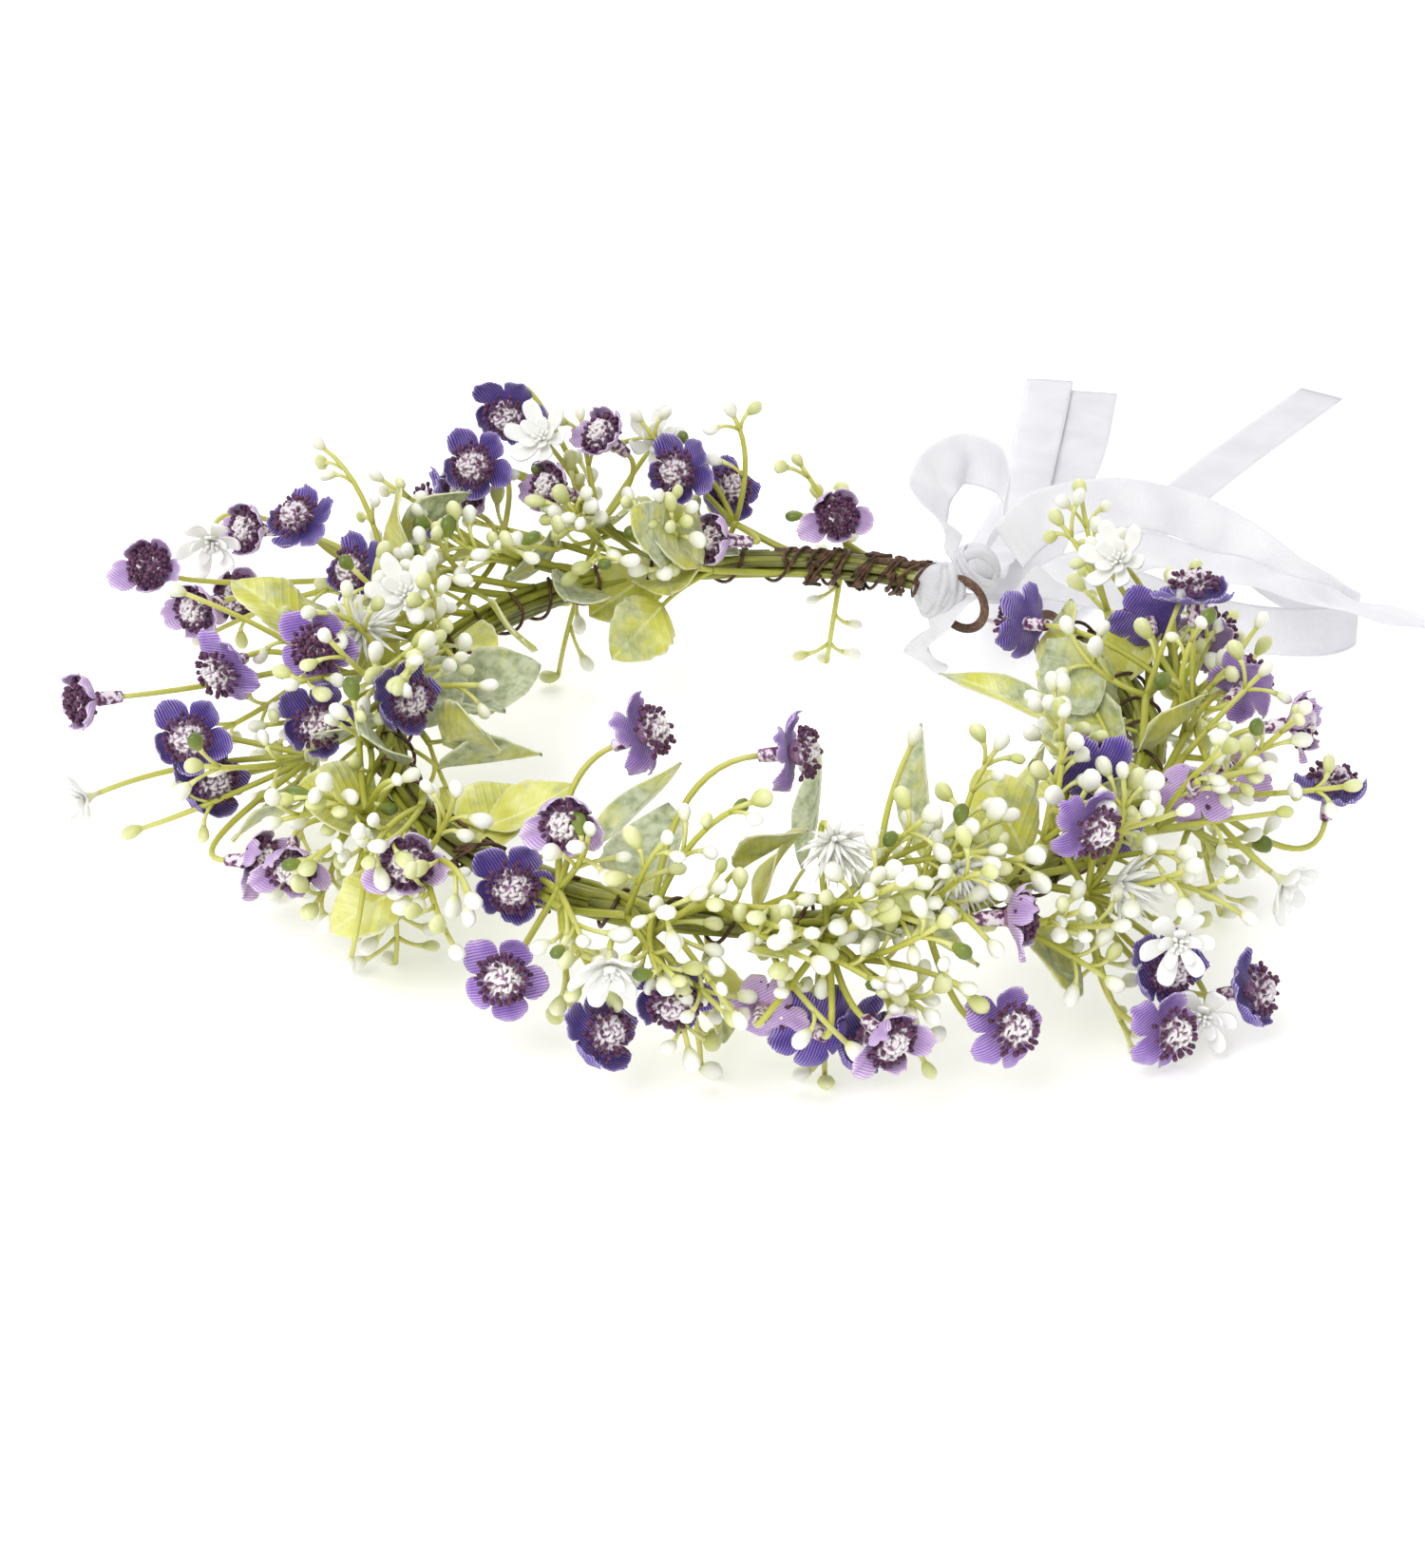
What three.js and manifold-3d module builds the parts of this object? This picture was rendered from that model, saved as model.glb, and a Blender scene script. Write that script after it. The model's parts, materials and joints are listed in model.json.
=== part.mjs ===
// A flower crown: an open hoop of paper-covered wire with a hooked eye at each end, sprays of
// moulded plastic blossom bound to it with thin wire, fabric flowers pushed onto the spray tips,
// and a satin ribbon tied at the opening. Millimetres and degrees, +Z up.
//
// The hoop lies level. Places on the crown are written [angle, out, up]: the angle round the hoop,
// the distance outside its wire (negative is inside) and the height above its wire.
// The opening is at 90 degrees, which is +Y, and the hoop bends at 270 degrees, opposite to it.
import * as THREE from 'three';
import { mergeVertices } from 'three/addons/utils/BufferGeometryUtils.js';
import Module from 'manifold-3d';

const wasm = await Module();
wasm.setup();

// ---- driving dimensions ----
const HOOP_R = 95;            // centreline of the hoop wire
const HOOP_Z = 38;            // height of the hoop wire above the table
const WIRE_R = 1.3;           // paper-covered wire
const EYE_R = 7.2;            // centreline of the hooked eye
const EYE_ANGLE = 9.5;        // from the middle of the opening to an eye
const EYE_DROP = 4;           // centre of the eye below the hoop wire
const FLEX_ANGLE = 270;       // where the hoop bends
const FLEX_GAP = 0.35;        // from there to the end of each half, in degrees
const STEM_R = 0.9;           // main stem of a spray
const TWIG_R = 0.6;
const SLOT_R = 3.2;           // stems lie round the hoop wire at this distance
const STEM_RUN = 16;          // how far a stem follows the hoop, in degrees
const BIND_R = 5.1;           // binding wire's helix round the stems
const BIND_WIRE_R = 0.45;
const BIND_PITCH = 12;        // degrees of hoop for one turn
const BIND_LEFT = [109.5, 267.5]; // first and last angle of each binding wire
const BIND_RIGHT = [273, 434];
const LEAVE_LEAD = 1.4;       // a stem starts outward this far before the middle of a turn
const PETAL_R = 10.4;
const TUBE_L = 7;             // stamen tube behind the petals
const TIP_GAP = 0.4;          // from a twig's end to the flower pushed onto it
const BUD_R = 1.9;
const REST = BUD_R * 1.2 - HOOP_Z; // height of a bud that stands on the table
const RIBBON_W = 15;
const RIBBON_T = 0.8;
const SKIN_GAP = 0.35;        // between the wire and the ribbon tied on it

// ---- places on the crown ----
const rad = THREE.MathUtils.degToRad;
const place = ([angle, out, up]) => new THREE.Vector3(
  (HOOP_R + out) * Math.cos(rad(angle)),
  (HOOP_R + out) * Math.sin(rad(angle)),
  HOOP_Z + up,
);
const facing = (heading, climb) => new THREE.Vector3(
  Math.cos(rad(climb)) * Math.cos(rad(heading)),
  Math.cos(rad(climb)) * Math.sin(rad(heading)),
  Math.sin(rad(climb)),
);
const inSlot = (angle, slot, r = SLOT_R) =>
  place([angle, r * Math.cos(rad(slot)), r * Math.sin(rad(slot))]);

class HoopArc extends THREE.Curve {
  constructor(from, to) {
    super();
    this.from = from;
    this.to = to;
  }
  getPoint(t) {
    return place([this.from + (this.to - this.from) * t, 0, 0]);
  }
}

// one turn of binding wire for every BIND_PITCH degrees of hoop
class BindingHelix extends HoopArc {
  getPoint(t) {
    const travel = (this.to - this.from) * t;
    return inSlot(this.from + travel, 360 * travel / BIND_PITCH, BIND_R);
  }
}

// ---- materials ----
const material = (color, roughness, metalness = 0) =>
  new THREE.MeshStandardMaterial({ color, roughness, metalness });
const MATERIALS = {
  wire: material(0x5f4637, 0.8),
  binding: material(0x6b4a36, 0.5, 0.4),
  stem: material(0xb6c455, 0.45),
  leaf: material(0xbccb68, 0.7),
  lilac: material(0xb8a4dc, 0.8),
  purple: material(0x866cbe, 0.8),
  violet: material(0x503c96, 0.8),
  white: material(0xf4f5f0, 0.45),
  ribbon: material(0xf0eef6, 0.5),
};

// ---- solids: joining and cutting ----
function toSolid(geometry) {
  const bare = geometry.clone();
  bare.deleteAttribute('normal');
  bare.deleteAttribute('uv');
  const merged = mergeVertices(bare, 1e-4);
  return new wasm.Manifold(new wasm.Mesh({
    numProp: 3,
    vertProperties: new Float32Array(merged.attributes.position.array),
    triVerts: new Uint32Array(merged.index.array),
  }));
}

function toGeometry(solid) {
  const mesh = solid.getMesh();
  const geometry = new THREE.BufferGeometry();
  geometry.setAttribute('position', new THREE.BufferAttribute(new Float32Array(mesh.vertProperties), 3));
  geometry.setIndex(new THREE.BufferAttribute(new Uint32Array(mesh.triVerts), 1));
  return geometry;
}

const joined = (geometries) =>
  toGeometry(geometries.map(toSolid).reduce((whole, piece) => whole.add(piece)));

// ---- plain shapes ----
function roundSection(radius, sides) {
  const section = new THREE.Shape();
  for (let i = 0; i < sides; i += 1) {
    const turn = 2 * Math.PI * i / sides;
    const corner = [radius * Math.cos(turn), radius * Math.sin(turn)];
    if (i === 0) section.moveTo(...corner);
    else section.lineTo(...corner);
  }
  section.closePath();
  return section;
}

const tubeAlong = (curve, radius, sides, steps) =>
  new THREE.ExtrudeGeometry(roundSection(radius, sides), {
    extrudePath: curve, steps, bevelEnabled: false,
  });

const smooth = (points) => new THREE.CatmullRomCurve3(points, false, 'centripetal');

// a geometry made round +Z, turned to look along a direction and moved to a point
function aimed(geometry, direction, point) {
  const turn = new THREE.Quaternion().setFromUnitVectors(new THREE.Vector3(0, 0, 1), direction);
  return geometry.applyQuaternion(turn).translate(point.x, point.y, point.z);
}

function ellipsoid(rx, ry, rz, around, down) {
  return new THREE.SphereGeometry(1, around, down).rotateX(Math.PI / 2).scale(rx, ry, rz);
}

// ---- the hoop ----
// The eye is a hook in the upright plane along the hoop: it rises over the top, comes down on the
// side of the opening and ends under its own start.
function eyeCurve(side) {
  const centre = place([90 + side * EYE_ANGLE, 0, -EYE_DROP]);
  const tangent = place([90 + side * (EYE_ANGLE - 1), 0, -EYE_DROP]).sub(centre).normalize();
  const onRing = (degrees) => centre.clone()
    .addScaledVector(tangent, EYE_R * Math.cos(rad(degrees)))
    .add(new THREE.Vector3(0, 0, EYE_R * Math.sin(rad(degrees))));
  const ring = [118, 90, 60, 30, 0, -30, -60, -90, -120, -150].map(onRing);
  const arrival = [8, 6.5, 5.2].map((lead) => place([90 + side * (EYE_ANGLE + lead), 0, 0]));
  return smooth([...arrival, ...ring]);
}

const hoopHalf = (side) => {
  const arcEnd = 90 + side * (EYE_ANGLE + 7);
  const flexEnd = side > 0 ? FLEX_ANGLE - FLEX_GAP : FLEX_ANGLE - 360 + FLEX_GAP;
  return joined([
    tubeAlong(new HoopArc(flexEnd, arcEnd), WIRE_R, 6, 22),
    tubeAlong(eyeCurve(side), WIRE_R, 6, 15),
  ]);
};

// ---- flowers ----
// Both kinds are turned round +Z, which is the way the flower looks, with the petals at the origin.
function lobed(profile, segments, lobes, rimRadius, notch) {
  const points = profile.map(([r, z]) => new THREE.Vector2(r, z));
  const geometry = new THREE.LatheGeometry(points, segments).rotateX(Math.PI / 2);
  const position = geometry.attributes.position;
  for (let i = 0; i < position.count; i += 1) {
    const [x, y] = [position.getX(i), position.getY(i)];
    const depth = Math.hypot(x, y) / rimRadius;
    const turn = Math.atan2(y, x) - Math.PI / 2;
    const wave = 1 - notch * depth * depth * (1 - Math.cos(lobes * turn)) / 2;
    position.setXY(i, x * wave, y * wave);
  }
  return geometry;
}

const fabricFlower = () => lobed([
  [0, -TUBE_L], [1.6, -TUBE_L], [2, -0.6], [PETAL_R, 1.8], [PETAL_R, 2.6], [4.6, 1.6], [0, 7],
], 10, 5, PETAL_R, 0.28);

const whiteFlower = () => lobed([
  [0, -4], [1.4, -4], [9.4, 1.4], [9.4, 2.2], [2.4, 0.8], [1.8, 4], [0, 4.4],
], 12, 6, 9.4, 0.24);

// ---- sprays ----
// The middle of the space between two turns of binding wire, at a slot round the hoop wire.
function betweenTurns(binding, turn, slot) {
  return binding[0] + BIND_PITCH * (turn + 0.5 + slot / 360) - LEAVE_LEAD;
}

function stemCurve(binding, turn, slot, fork) {
  const leave = betweenTurns(binding, turn, slot);
  const root = Math.max(leave - STEM_RUN, binding[0] + 0.5);
  const run = [0, 0.34, 0.67, 1].map((t) => inSlot(root + (leave - root) * t, slot));
  return smooth([...run, place(fork)]);
}

// A twig leaves its fork, and comes to its tip along the direction given.
function twigCurve(fork, tip, direction) {
  const start = place(fork);
  const reach = start.distanceTo(tip);
  const bend = tip.clone().addScaledVector(direction, -0.45 * reach);
  return new THREE.QuadraticBezierCurve3(start, bend, tip);
}

const outward = (fork, tip) => tip.clone().sub(place(fork)).normalize();

function sprayGeometry(spray) {
  const { binding, turn, slot, fork, flowers = [], buds = [], leaves = [] } = spray;
  const pieces = [
    tubeAlong(stemCurve(binding, turn, slot, fork), STEM_R, 5, 6),
    ellipsoid(STEM_R * 1.25, STEM_R * 1.25, STEM_R * 1.25, 4, 3).translate(...place(fork)),
  ];
  for (const flower of flowers) {
    const look = facing(flower.heading, flower.climb);
    const tip = place(flower.at).addScaledVector(look, -(flower.depth + TIP_GAP));
    pieces.push(tubeAlong(twigCurve(fork, tip, look), TWIG_R, 4, 3));
  }
  for (const at of buds) {
    const tip = place(at);
    const direction = outward(fork, tip);
    pieces.push(tubeAlong(twigCurve(fork, tip, direction), TWIG_R, 4, 2));
    pieces.push(aimed(ellipsoid(BUD_R, BUD_R, BUD_R * 1.25, 5, 3), direction, tip));
  }
  for (const [base, heading, climb] of leaves) {
    const tip = place(base);
    const direction = facing(heading, climb);
    pieces.push(tubeAlong(twigCurve(fork, tip, direction), TWIG_R, 4, 2));
    pieces.push(aimed(leafBlade(), direction, tip));
  }
  return joined(pieces);
}

// An oval leaf from its stalk at the origin along +Z, folded a little along its midrib.
function leafBlade() {
  const [halfWidth, halfLength, thickness, fold] = [6.5, 9.5, 0.7, 0.35];
  const blade = ellipsoid(halfWidth, thickness, halfLength, 6, 4).translate(0, 0, halfLength - 1);
  const position = blade.attributes.position;
  for (let i = 0; i < position.count; i += 1) {
    position.setY(i, position.getY(i) + fold * Math.abs(position.getX(i)));
  }
  return blade;
}

// ---- ribbon ----
// A band of ribbon along a route of [x, y, z, lean] points measured from the hoop's centre on the
// table. Lean turns the band about its route: 0 lies flat and 90 stands on its edge.
function ribbonBand(route) {
  const points = route.map(([x, y, z]) => new THREE.Vector3(x, y, z));
  const curve = smooth(points);
  const steps = 3 * (route.length - 1);
  const corners = [[-1, 0], [1, 0], [1, 1], [-1, 1]];
  const vertices = [];
  const indices = [];
  for (let i = 0; i <= steps; i += 1) {
    const t = i / steps;
    const along = curve.getTangent(t);
    const at = curve.getPoint(t);
    const step = Math.min(Math.floor(t * (route.length - 1)), route.length - 2);
    const lean = rad(THREE.MathUtils.lerp(route[step][3], route[step + 1][3], t * (route.length - 1) - step));
    const level = new THREE.Vector3(-along.y, along.x, 0).normalize();
    const upright = new THREE.Vector3().crossVectors(along, level);
    const across = level.clone().multiplyScalar(Math.cos(lean)).addScaledVector(upright, Math.sin(lean));
    const face = new THREE.Vector3().crossVectors(along, across);
    for (const [wide, thick] of corners) {
      vertices.push(...at.clone()
        .addScaledVector(across, wide * RIBBON_W / 2)
        .addScaledVector(face, thick * RIBBON_T));
    }
    if (i > 0) {
      for (let c = 0; c < 4; c += 1) {
        const [a, b] = [4 * (i - 1) + c, 4 * (i - 1) + (c + 1) % 4];
        indices.push(a, b, b + 4, a, b + 4, a + 4);
      }
    }
  }
  const end = 4 * steps;
  indices.push(0, 3, 2, 0, 2, 1, end, end + 1, end + 2, end, end + 2, end + 3);
  const geometry = new THREE.BufferGeometry();
  geometry.setAttribute('position', new THREE.Float32BufferAttribute(vertices, 3));
  geometry.setIndex(indices);
  return geometry;
}

// Ribbon wound and knotted on the inner side of an eye: a soft lump with the wire passing through.
function ribbonKnot(side, size, turn, drop) {
  const centre = place([90 + side * (EYE_ANGLE + turn), 0, -drop]);
  const lump = ellipsoid(...size, 12, 8)
    .rotateZ(rad(90 + side * EYE_ANGLE))
    .translate(...centre);
  const arcEnd = 90 + side * (EYE_ANGLE + 7);
  const wire = [
    tubeAlong(eyeCurve(side), WIRE_R + SKIN_GAP, 6, 15),
    tubeAlong(new HoopArc(arcEnd + side * 20, arcEnd), WIRE_R + SKIN_GAP, 6, 6),
  ];
  return toGeometry(toSolid(lump).subtract(toSolid(joined(wire))));
}

// ---- what the crown carries ----
const fabric = (colour, at, heading, climb) => ({ colour, at, heading, climb, depth: TUBE_L });
const white = (at, heading, climb) => ({ colour: 'white', at, heading, climb, depth: 4 });

const LEFT = { binding: BIND_LEFT };
const RIGHT = { binding: BIND_RIGHT };
const SPRAYS = [
  { ...LEFT, turn: 0, slot: 20, fork: [121, 9, 3],
    flowers: [fabric('lilac', [122, 1, 15], 315, 25)],
    buds: [[126, 18, 12], [128, 8, 26], [124, 20, -10], [124, 12, REST]] },
  { ...LEFT, turn: 1, slot: 70, fork: [138, 9, 8],
    flowers: [fabric('violet', [146, 9, 25], 280, 20)],
    buds: [[138, 14, 38], [150, 24, 34], [148, 30, 6], [150, 20, -12]] },
  { ...LEFT, turn: 3, slot: 20, fork: [158, 14, 10],
    flowers: [fabric('lilac', [165, 12, 24], 260, 30), fabric('violet', [166, 35, 40], 305, -10),
      fabric('violet', [173, 27, 30], 290, 25)],
    buds: [[158, 26, 36], [160, 34, 16], [164, 18, REST]] },
  { ...LEFT, turn: 4, slot: 70, fork: [175, 14, 9],
    buds: [[184, 38, 30], [184, 46, 4], [188, 32, -16], [186, 18, 24]] },
  { ...LEFT, turn: 5, slot: 20, fork: [190, 26, 10],
    flowers: [fabric('violet', [196, 43, 27], 260, 55), fabric('lilac', [207, 72, 22], 300, 35),
      white([194, 77, 12], 315, -10)],
    buds: [[187, 52, 38], [202, 66, -4], [198, 44, -14], [194, 30, REST]] },
  { ...LEFT, turn: 7, slot: 70, fork: [213, 22, 8],
    flowers: [fabric('purple', [219, 43, 12], 280, 0), fabric('purple', [225, 18, 25], 315, 25),
      fabric('lilac', [223, 75, 8], 255, 10)],
    buds: [[214, 56, 26], [216, 60, -16], [212, 40, REST]] },
  { ...LEFT, turn: 8, slot: 20, fork: [225, 20, -6],
    flowers: [fabric('violet', [228, 50, 4], 305, 25), fabric('lilac', [240, 39, -16], 15, 15)],
    buds: [[229, 64, -20], [237, 48, 8], [232, 30, REST]] },
  { ...LEFT, turn: 10, slot: 70, fork: [249, 14, 2],
    flowers: [fabric('lilac', [265, 20, 6], 315, 25)],
    buds: [[256, 30, -14], [258, 14, 20], [252, 28, 14], [254, 12, REST]] },
  { ...RIGHT, turn: 0, slot: 20, fork: [285, 10, 8],
    flowers: [fabric('purple', [282, 25, -10], 315, 30), fabric('purple', [289, -19, 36], 30, 30)],
    buds: [[290, 12, 26], [292, 26, 8], [288, 14, -26]] },
  { ...RIGHT, turn: 1, slot: 70, fork: [298, 12, 2],
    flowers: [fabric('violet', [294, 27, -17], 0, 30), fabric('purple', [316, -21, 34], 35, 10),
      white([296, 30, 4], 315, -25)],
    buds: [[304, 26, -18], [306, 16, 18], [304, 8, REST]] },
  { ...RIGHT, turn: 3, slot: 20, fork: [320, 12, 4],
    flowers: [fabric('lilac', [324, 36, -8], 345, 0)],
    buds: [[326, 18, 22], [330, 26, -24], [322, 26, 16], [320, 10, REST]] },
  { ...RIGHT, turn: 4, slot: 70, fork: [333, 8, 4],
    flowers: [fabric('lilac', [340, 22, 8], 40, 5), fabric('purple', [338, 32, -15], 350, 25)],
    buds: [[342, 8, 26], [336, 26, 24], [340, -12, 10]] },
  { ...RIGHT, turn: 6, slot: 20, fork: [356, 14, 0],
    flowers: [fabric('purple', [352, 20, 24], 355, 0), fabric('violet', [366, 46, -24], 20, 20)],
    buds: [[360, 36, 12], [364, 46, 0], [362, 14, 26], [358, 26, REST]] },
  { ...RIGHT, turn: 8, slot: 70, fork: [382, 16, 4],
    flowers: [fabric('violet', [393, 46, -4], 95, 80), fabric('lilac', [394, 34, 13], 30, 15),
      white([381, 40, -14], 0, -15)],
    buds: [[386, 50, 8], [386, 38, 26], [388, 22, REST]] },
  { ...RIGHT, turn: 10, slot: 20, fork: [405, 12, 6],
    flowers: [fabric('violet', [417, 5, 19], 135, 5)],
    buds: [[408, 28, 24], [414, 30, 6], [416, 22, -12], [414, 12, REST]] },
];

const LEAF_SPRIGS = [
  { ...LEFT, turn: 1, slot: 200, fork: [143, -9, 3],
    leaves: [[[151, -12, 10], 255, 50], [[153, -12, -4], 275, -20], [[146, -10, 12], 225, 70]] },
  { ...LEFT, turn: 8, slot: 200, fork: [228, -9, 0],
    leaves: [[[235, -13, 6], 350, 30], [[237, -12, -6], 340, -25], [[229, -8, -12], 250, -40]] },
  { ...RIGHT, turn: 1, slot: 200, fork: [304, -9, 0],
    leaves: [[[308, -12, 8], 20, 40], [[310, -12, -6], 30, -15], [[303, -10, -14], 330, -50]] },
  { ...RIGHT, turn: 9, slot: 200, fork: [399, -9, 0],
    leaves: [[[403, -13, 6], 170, 35], [[405, -12, -8], 150, -20], [[396, -13, -12], 200, -15]] },
];

// Routes from the hoop's centre, on the table. The bow stands behind the left eye.
const TIE = [-22, 107, HOOP_Z];
const RIBBONS = {
  bow_loop_small: [
    [-33, 112, 38, 70], [-40, 112, 42, 60], [-49, 118, 46, 40], [-57, 132, 47, 45],
    [-60, 148, 45, 85], [-51, 152, 43, 90], [-39, 140, 40, 85], [-30, 124, 38, 70],
  ],
  bow_loop_large: [
    [-20, 118, 41, 65], [-19, 129, 46, 58], [-9, 143, 49, 42], [1, 160, 45, 42],
    [11, 178, 33, 65], [22, 193, 18, 88], [30, 204, 9.5, 90], [38.5, 205, 8, 90],
    [37.5, 191, 8.2, 90], [17, 174, 9, 90], [-6, 161, 15, 85], [-14, 144, 23, 75],
    [-15, 123, 32, 60],
  ],
  ribbon_tail_a: [[-30, 118, 28, 0], [-48, 142, 17, 0], [-70, 176, 6, 0], [-88, 208, 2.4, 0],
    [-113, 246, 1.8, 0], [-141, 287, 1, 0]],
  ribbon_tail_b: [[-27, 119, 22, 0], [-40, 142, 10, 0], [-59, 178, 1.4, 0], [-78, 212, 0.2, 0],
    [-100, 252, 0, 0], [-126, 291, 0, 0]],
  ribbon_tail_c: [[-22, 119, 16, 0], [-31, 142, 5.6, 0], [-39, 180, 0.9, 0], [-51, 222, 0, 0],
    [-61, 270, 0, 0], [-72, 341, 0, 0]],
  ribbon_tail_d: [[-4, 118, 37, 0], [1, 132, 38, 10], [7, 147, 38, 15], [20, 161, 33, 10],
    [33, 177, 26, 5], [45, 192, 18, 0], [55, 214, 8, 0], [62, 228, 0.3, 0]],
};

// ---- assembly ----
const crown = new THREE.Group();
function add(name, geometry, look) {
  const mesh = new THREE.Mesh(geometry, MATERIALS[look]);
  mesh.name = name;
  crown.add(mesh);
  return mesh;
}

add('hoop_wire_left', hoopHalf(1), 'wire');
add('hoop_wire_right', hoopHalf(-1), 'wire');
const bindingTube = (binding) => {
  const turns = (binding[1] - binding[0]) / BIND_PITCH;
  return tubeAlong(new BindingHelix(...binding), BIND_WIRE_R, 4, Math.round(6 * turns));
};
add('binding_wire_left', bindingTube(BIND_LEFT), 'binding');
add('binding_wire_right', bindingTube(BIND_RIGHT), 'binding');

SPRAYS.forEach((spray, index) => {
  const number = index + 1;
  add(`spray_${number}`, sprayGeometry(spray), 'stem');
  (spray.flowers ?? []).forEach((flower, n) => {
    const geometry = flower.colour === 'white' ? whiteFlower() : fabricFlower();
    const mesh = add(`${flower.colour}_flower_${number}${'abc'[n]}`, geometry, flower.colour);
    mesh.position.copy(place(flower.at));
    mesh.quaternion.setFromUnitVectors(new THREE.Vector3(0, 0, 1), facing(flower.heading, flower.climb));
  });
});
LEAF_SPRIGS.forEach((sprig, index) => add(`leaf_sprig_${index + 1}`, sprayGeometry(sprig), 'leaf'));

add('ribbon_knot_left', ribbonKnot(1, [6.5, 8.5, 8], 4.2, 2), 'ribbon');
add('ribbon_knot_right', ribbonKnot(-1, [4.5, 5, 5], 3.6, 7), 'ribbon');
add('bow_knot', ellipsoid(7, 6, 6.5, 10, 7).translate(...TIE), 'ribbon');
for (const [name, route] of Object.entries(RIBBONS)) add(name, ribbonBand(route), 'ribbon');

// The origin is under the middle of the whole crown, on the table.
crown.updateMatrixWorld(true);
const box = new THREE.Box3().setFromObject(crown, true);
crown.position.set(-(box.min.x + box.max.x) / 2, -(box.min.y + box.max.y) / 2, -box.min.z);

export default crown;
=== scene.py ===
# %% [markdown]
# # A flower crown
#
# The crown is an open hoop of paper-covered wire. Sprays of moulded plastic blossom are bound to
# it with thin wire, small fabric flowers are pushed onto the spray tips, and a ribbon is tied at
# the opening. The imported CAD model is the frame: it says where each piece sits and what moves.
# Each CAD piece is replaced here by a finer one in the same place.

import bmesh
import bpy
import json
import numpy as np
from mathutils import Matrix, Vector


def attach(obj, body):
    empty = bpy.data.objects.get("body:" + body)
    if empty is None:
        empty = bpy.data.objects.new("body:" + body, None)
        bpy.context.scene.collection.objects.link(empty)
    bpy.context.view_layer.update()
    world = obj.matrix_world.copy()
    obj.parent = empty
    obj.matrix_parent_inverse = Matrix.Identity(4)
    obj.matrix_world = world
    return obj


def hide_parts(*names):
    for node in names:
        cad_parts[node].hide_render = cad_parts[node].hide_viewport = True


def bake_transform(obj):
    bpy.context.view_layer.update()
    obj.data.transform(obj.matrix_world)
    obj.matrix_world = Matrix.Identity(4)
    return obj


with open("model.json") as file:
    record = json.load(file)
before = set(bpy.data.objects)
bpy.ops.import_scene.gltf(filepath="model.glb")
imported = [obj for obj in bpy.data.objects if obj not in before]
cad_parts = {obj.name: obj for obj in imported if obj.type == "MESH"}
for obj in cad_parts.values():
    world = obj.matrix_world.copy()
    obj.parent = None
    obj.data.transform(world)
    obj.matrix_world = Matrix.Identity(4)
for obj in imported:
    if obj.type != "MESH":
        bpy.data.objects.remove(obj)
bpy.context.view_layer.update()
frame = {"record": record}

# %% [markdown]
# ## Places on the crown
#
# Every place is written as an angle round the hoop, a distance outside its wire and a height
# above its wire, in degrees and millimetres. That is how a florist would point at a flower, and
# it keeps the numbers short. All shapes are worked out in millimetres from the middle of the
# hoop, on the table, and only the finished mesh is put into metres.

# %% Places and directions
HOOP_RADIUS = 95.0
HOOP_HEIGHT = 38.0
FLEX_JOINT = next(j for j in frame["record"]["behaviour"]["joints"] if j["name"] == "hoop_flex")
FLEX_AT = np.array(FLEX_JOINT["pos_m"], float)
CROWN_ORIGIN = FLEX_AT + [0.0, HOOP_RADIUS / 1000, -HOOP_HEIGHT / 1000]


def place(at):
    """Radius (hoop + out) turned by the angle, at the hoop's height + up."""
    at = np.asarray(at, float)
    turn = np.radians(at[..., 0])
    reach = HOOP_RADIUS + at[..., 1]
    return np.stack([reach * np.cos(turn), reach * np.sin(turn), HOOP_HEIGHT + at[..., 2]], -1)


def facing(heading, climb):
    """Unit direction with that heading on the table and that climb above it."""
    heading, climb = np.radians(heading), np.radians(climb)
    level = np.cos(climb)
    return np.stack([level * np.cos(heading), level * np.sin(heading), np.sin(climb)], -1)


def in_slot(angle, slot, distance):
    """A point beside the hoop wire, turned by the slot angle round it: 0 is outside, 90 above."""
    slot = np.radians(slot)
    parts = np.broadcast_arrays(angle, distance * np.cos(slot), distance * np.sin(slot))
    return place(np.stack(parts, -1))


def unit(vectors):
    """Each vector divided by its own length."""
    return vectors / np.linalg.norm(vectors, axis=-1, keepdims=True)


print("middle of the hoop on the table:", np.round(CROWN_ORIGIN, 4))

# %% [markdown]
# ## Camera
#
# The view looks down on the crown from the front at about 30 degrees, from a metre away, through
# a long lens, so the far side of the hoop is only a little smaller than the near side.

# %% Camera
VIEW_AZIMUTH, VIEW_ELEVATION, VIEW_DISTANCE = 43.5, 29.3, 1.0
LEFT_OF_MIDDLE, BELOW_MIDDLE = 0.0144, 0.0137
around, above = np.radians(VIEW_AZIMUTH), np.radians(VIEW_ELEVATION)
toward = Vector((-np.sin(around) * np.cos(above), np.cos(around) * np.cos(above), -np.sin(above)))
rightward = Vector((np.cos(around), np.sin(around), 0))
upward = rightward.cross(toward)
hoop_middle = Vector(CROWN_ORIGIN) + Vector((0, 0, HOOP_HEIGHT / 1000))
looked_at = hoop_middle - rightward * LEFT_OF_MIDDLE - upward * BELOW_MIDDLE

camera_data = bpy.data.cameras.new("camera")
camera_data.lens, camera_data.sensor_width = 90.8, 36
camera = bpy.data.objects.new("camera", camera_data)
bpy.context.collection.objects.link(camera)
camera.location = looked_at - toward * VIEW_DISTANCE
camera.rotation_euler = toward.to_track_quat("-Z", "Y").to_euler()
bpy.context.scene.camera = camera
print("camera at", tuple(round(x, 3) for x in camera.location))

# %% [markdown]
# ## Nodes for the materials
#
# One small function adds a node with its settings and links, and another turns a colour as it is
# picked on a screen into the linear colour that the shader works with. Every pattern is scaled
# from millimetres on the real thing. The mesh of each piece carries what a pattern needs: a flat
# map in millimetres, and the numbers tone and tint at each point.

# %% Material helpers
MM = 0.001
NOISE_BLOTCH = 0.6  # how wide a blotch of the noise is, at a scale of 1


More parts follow.
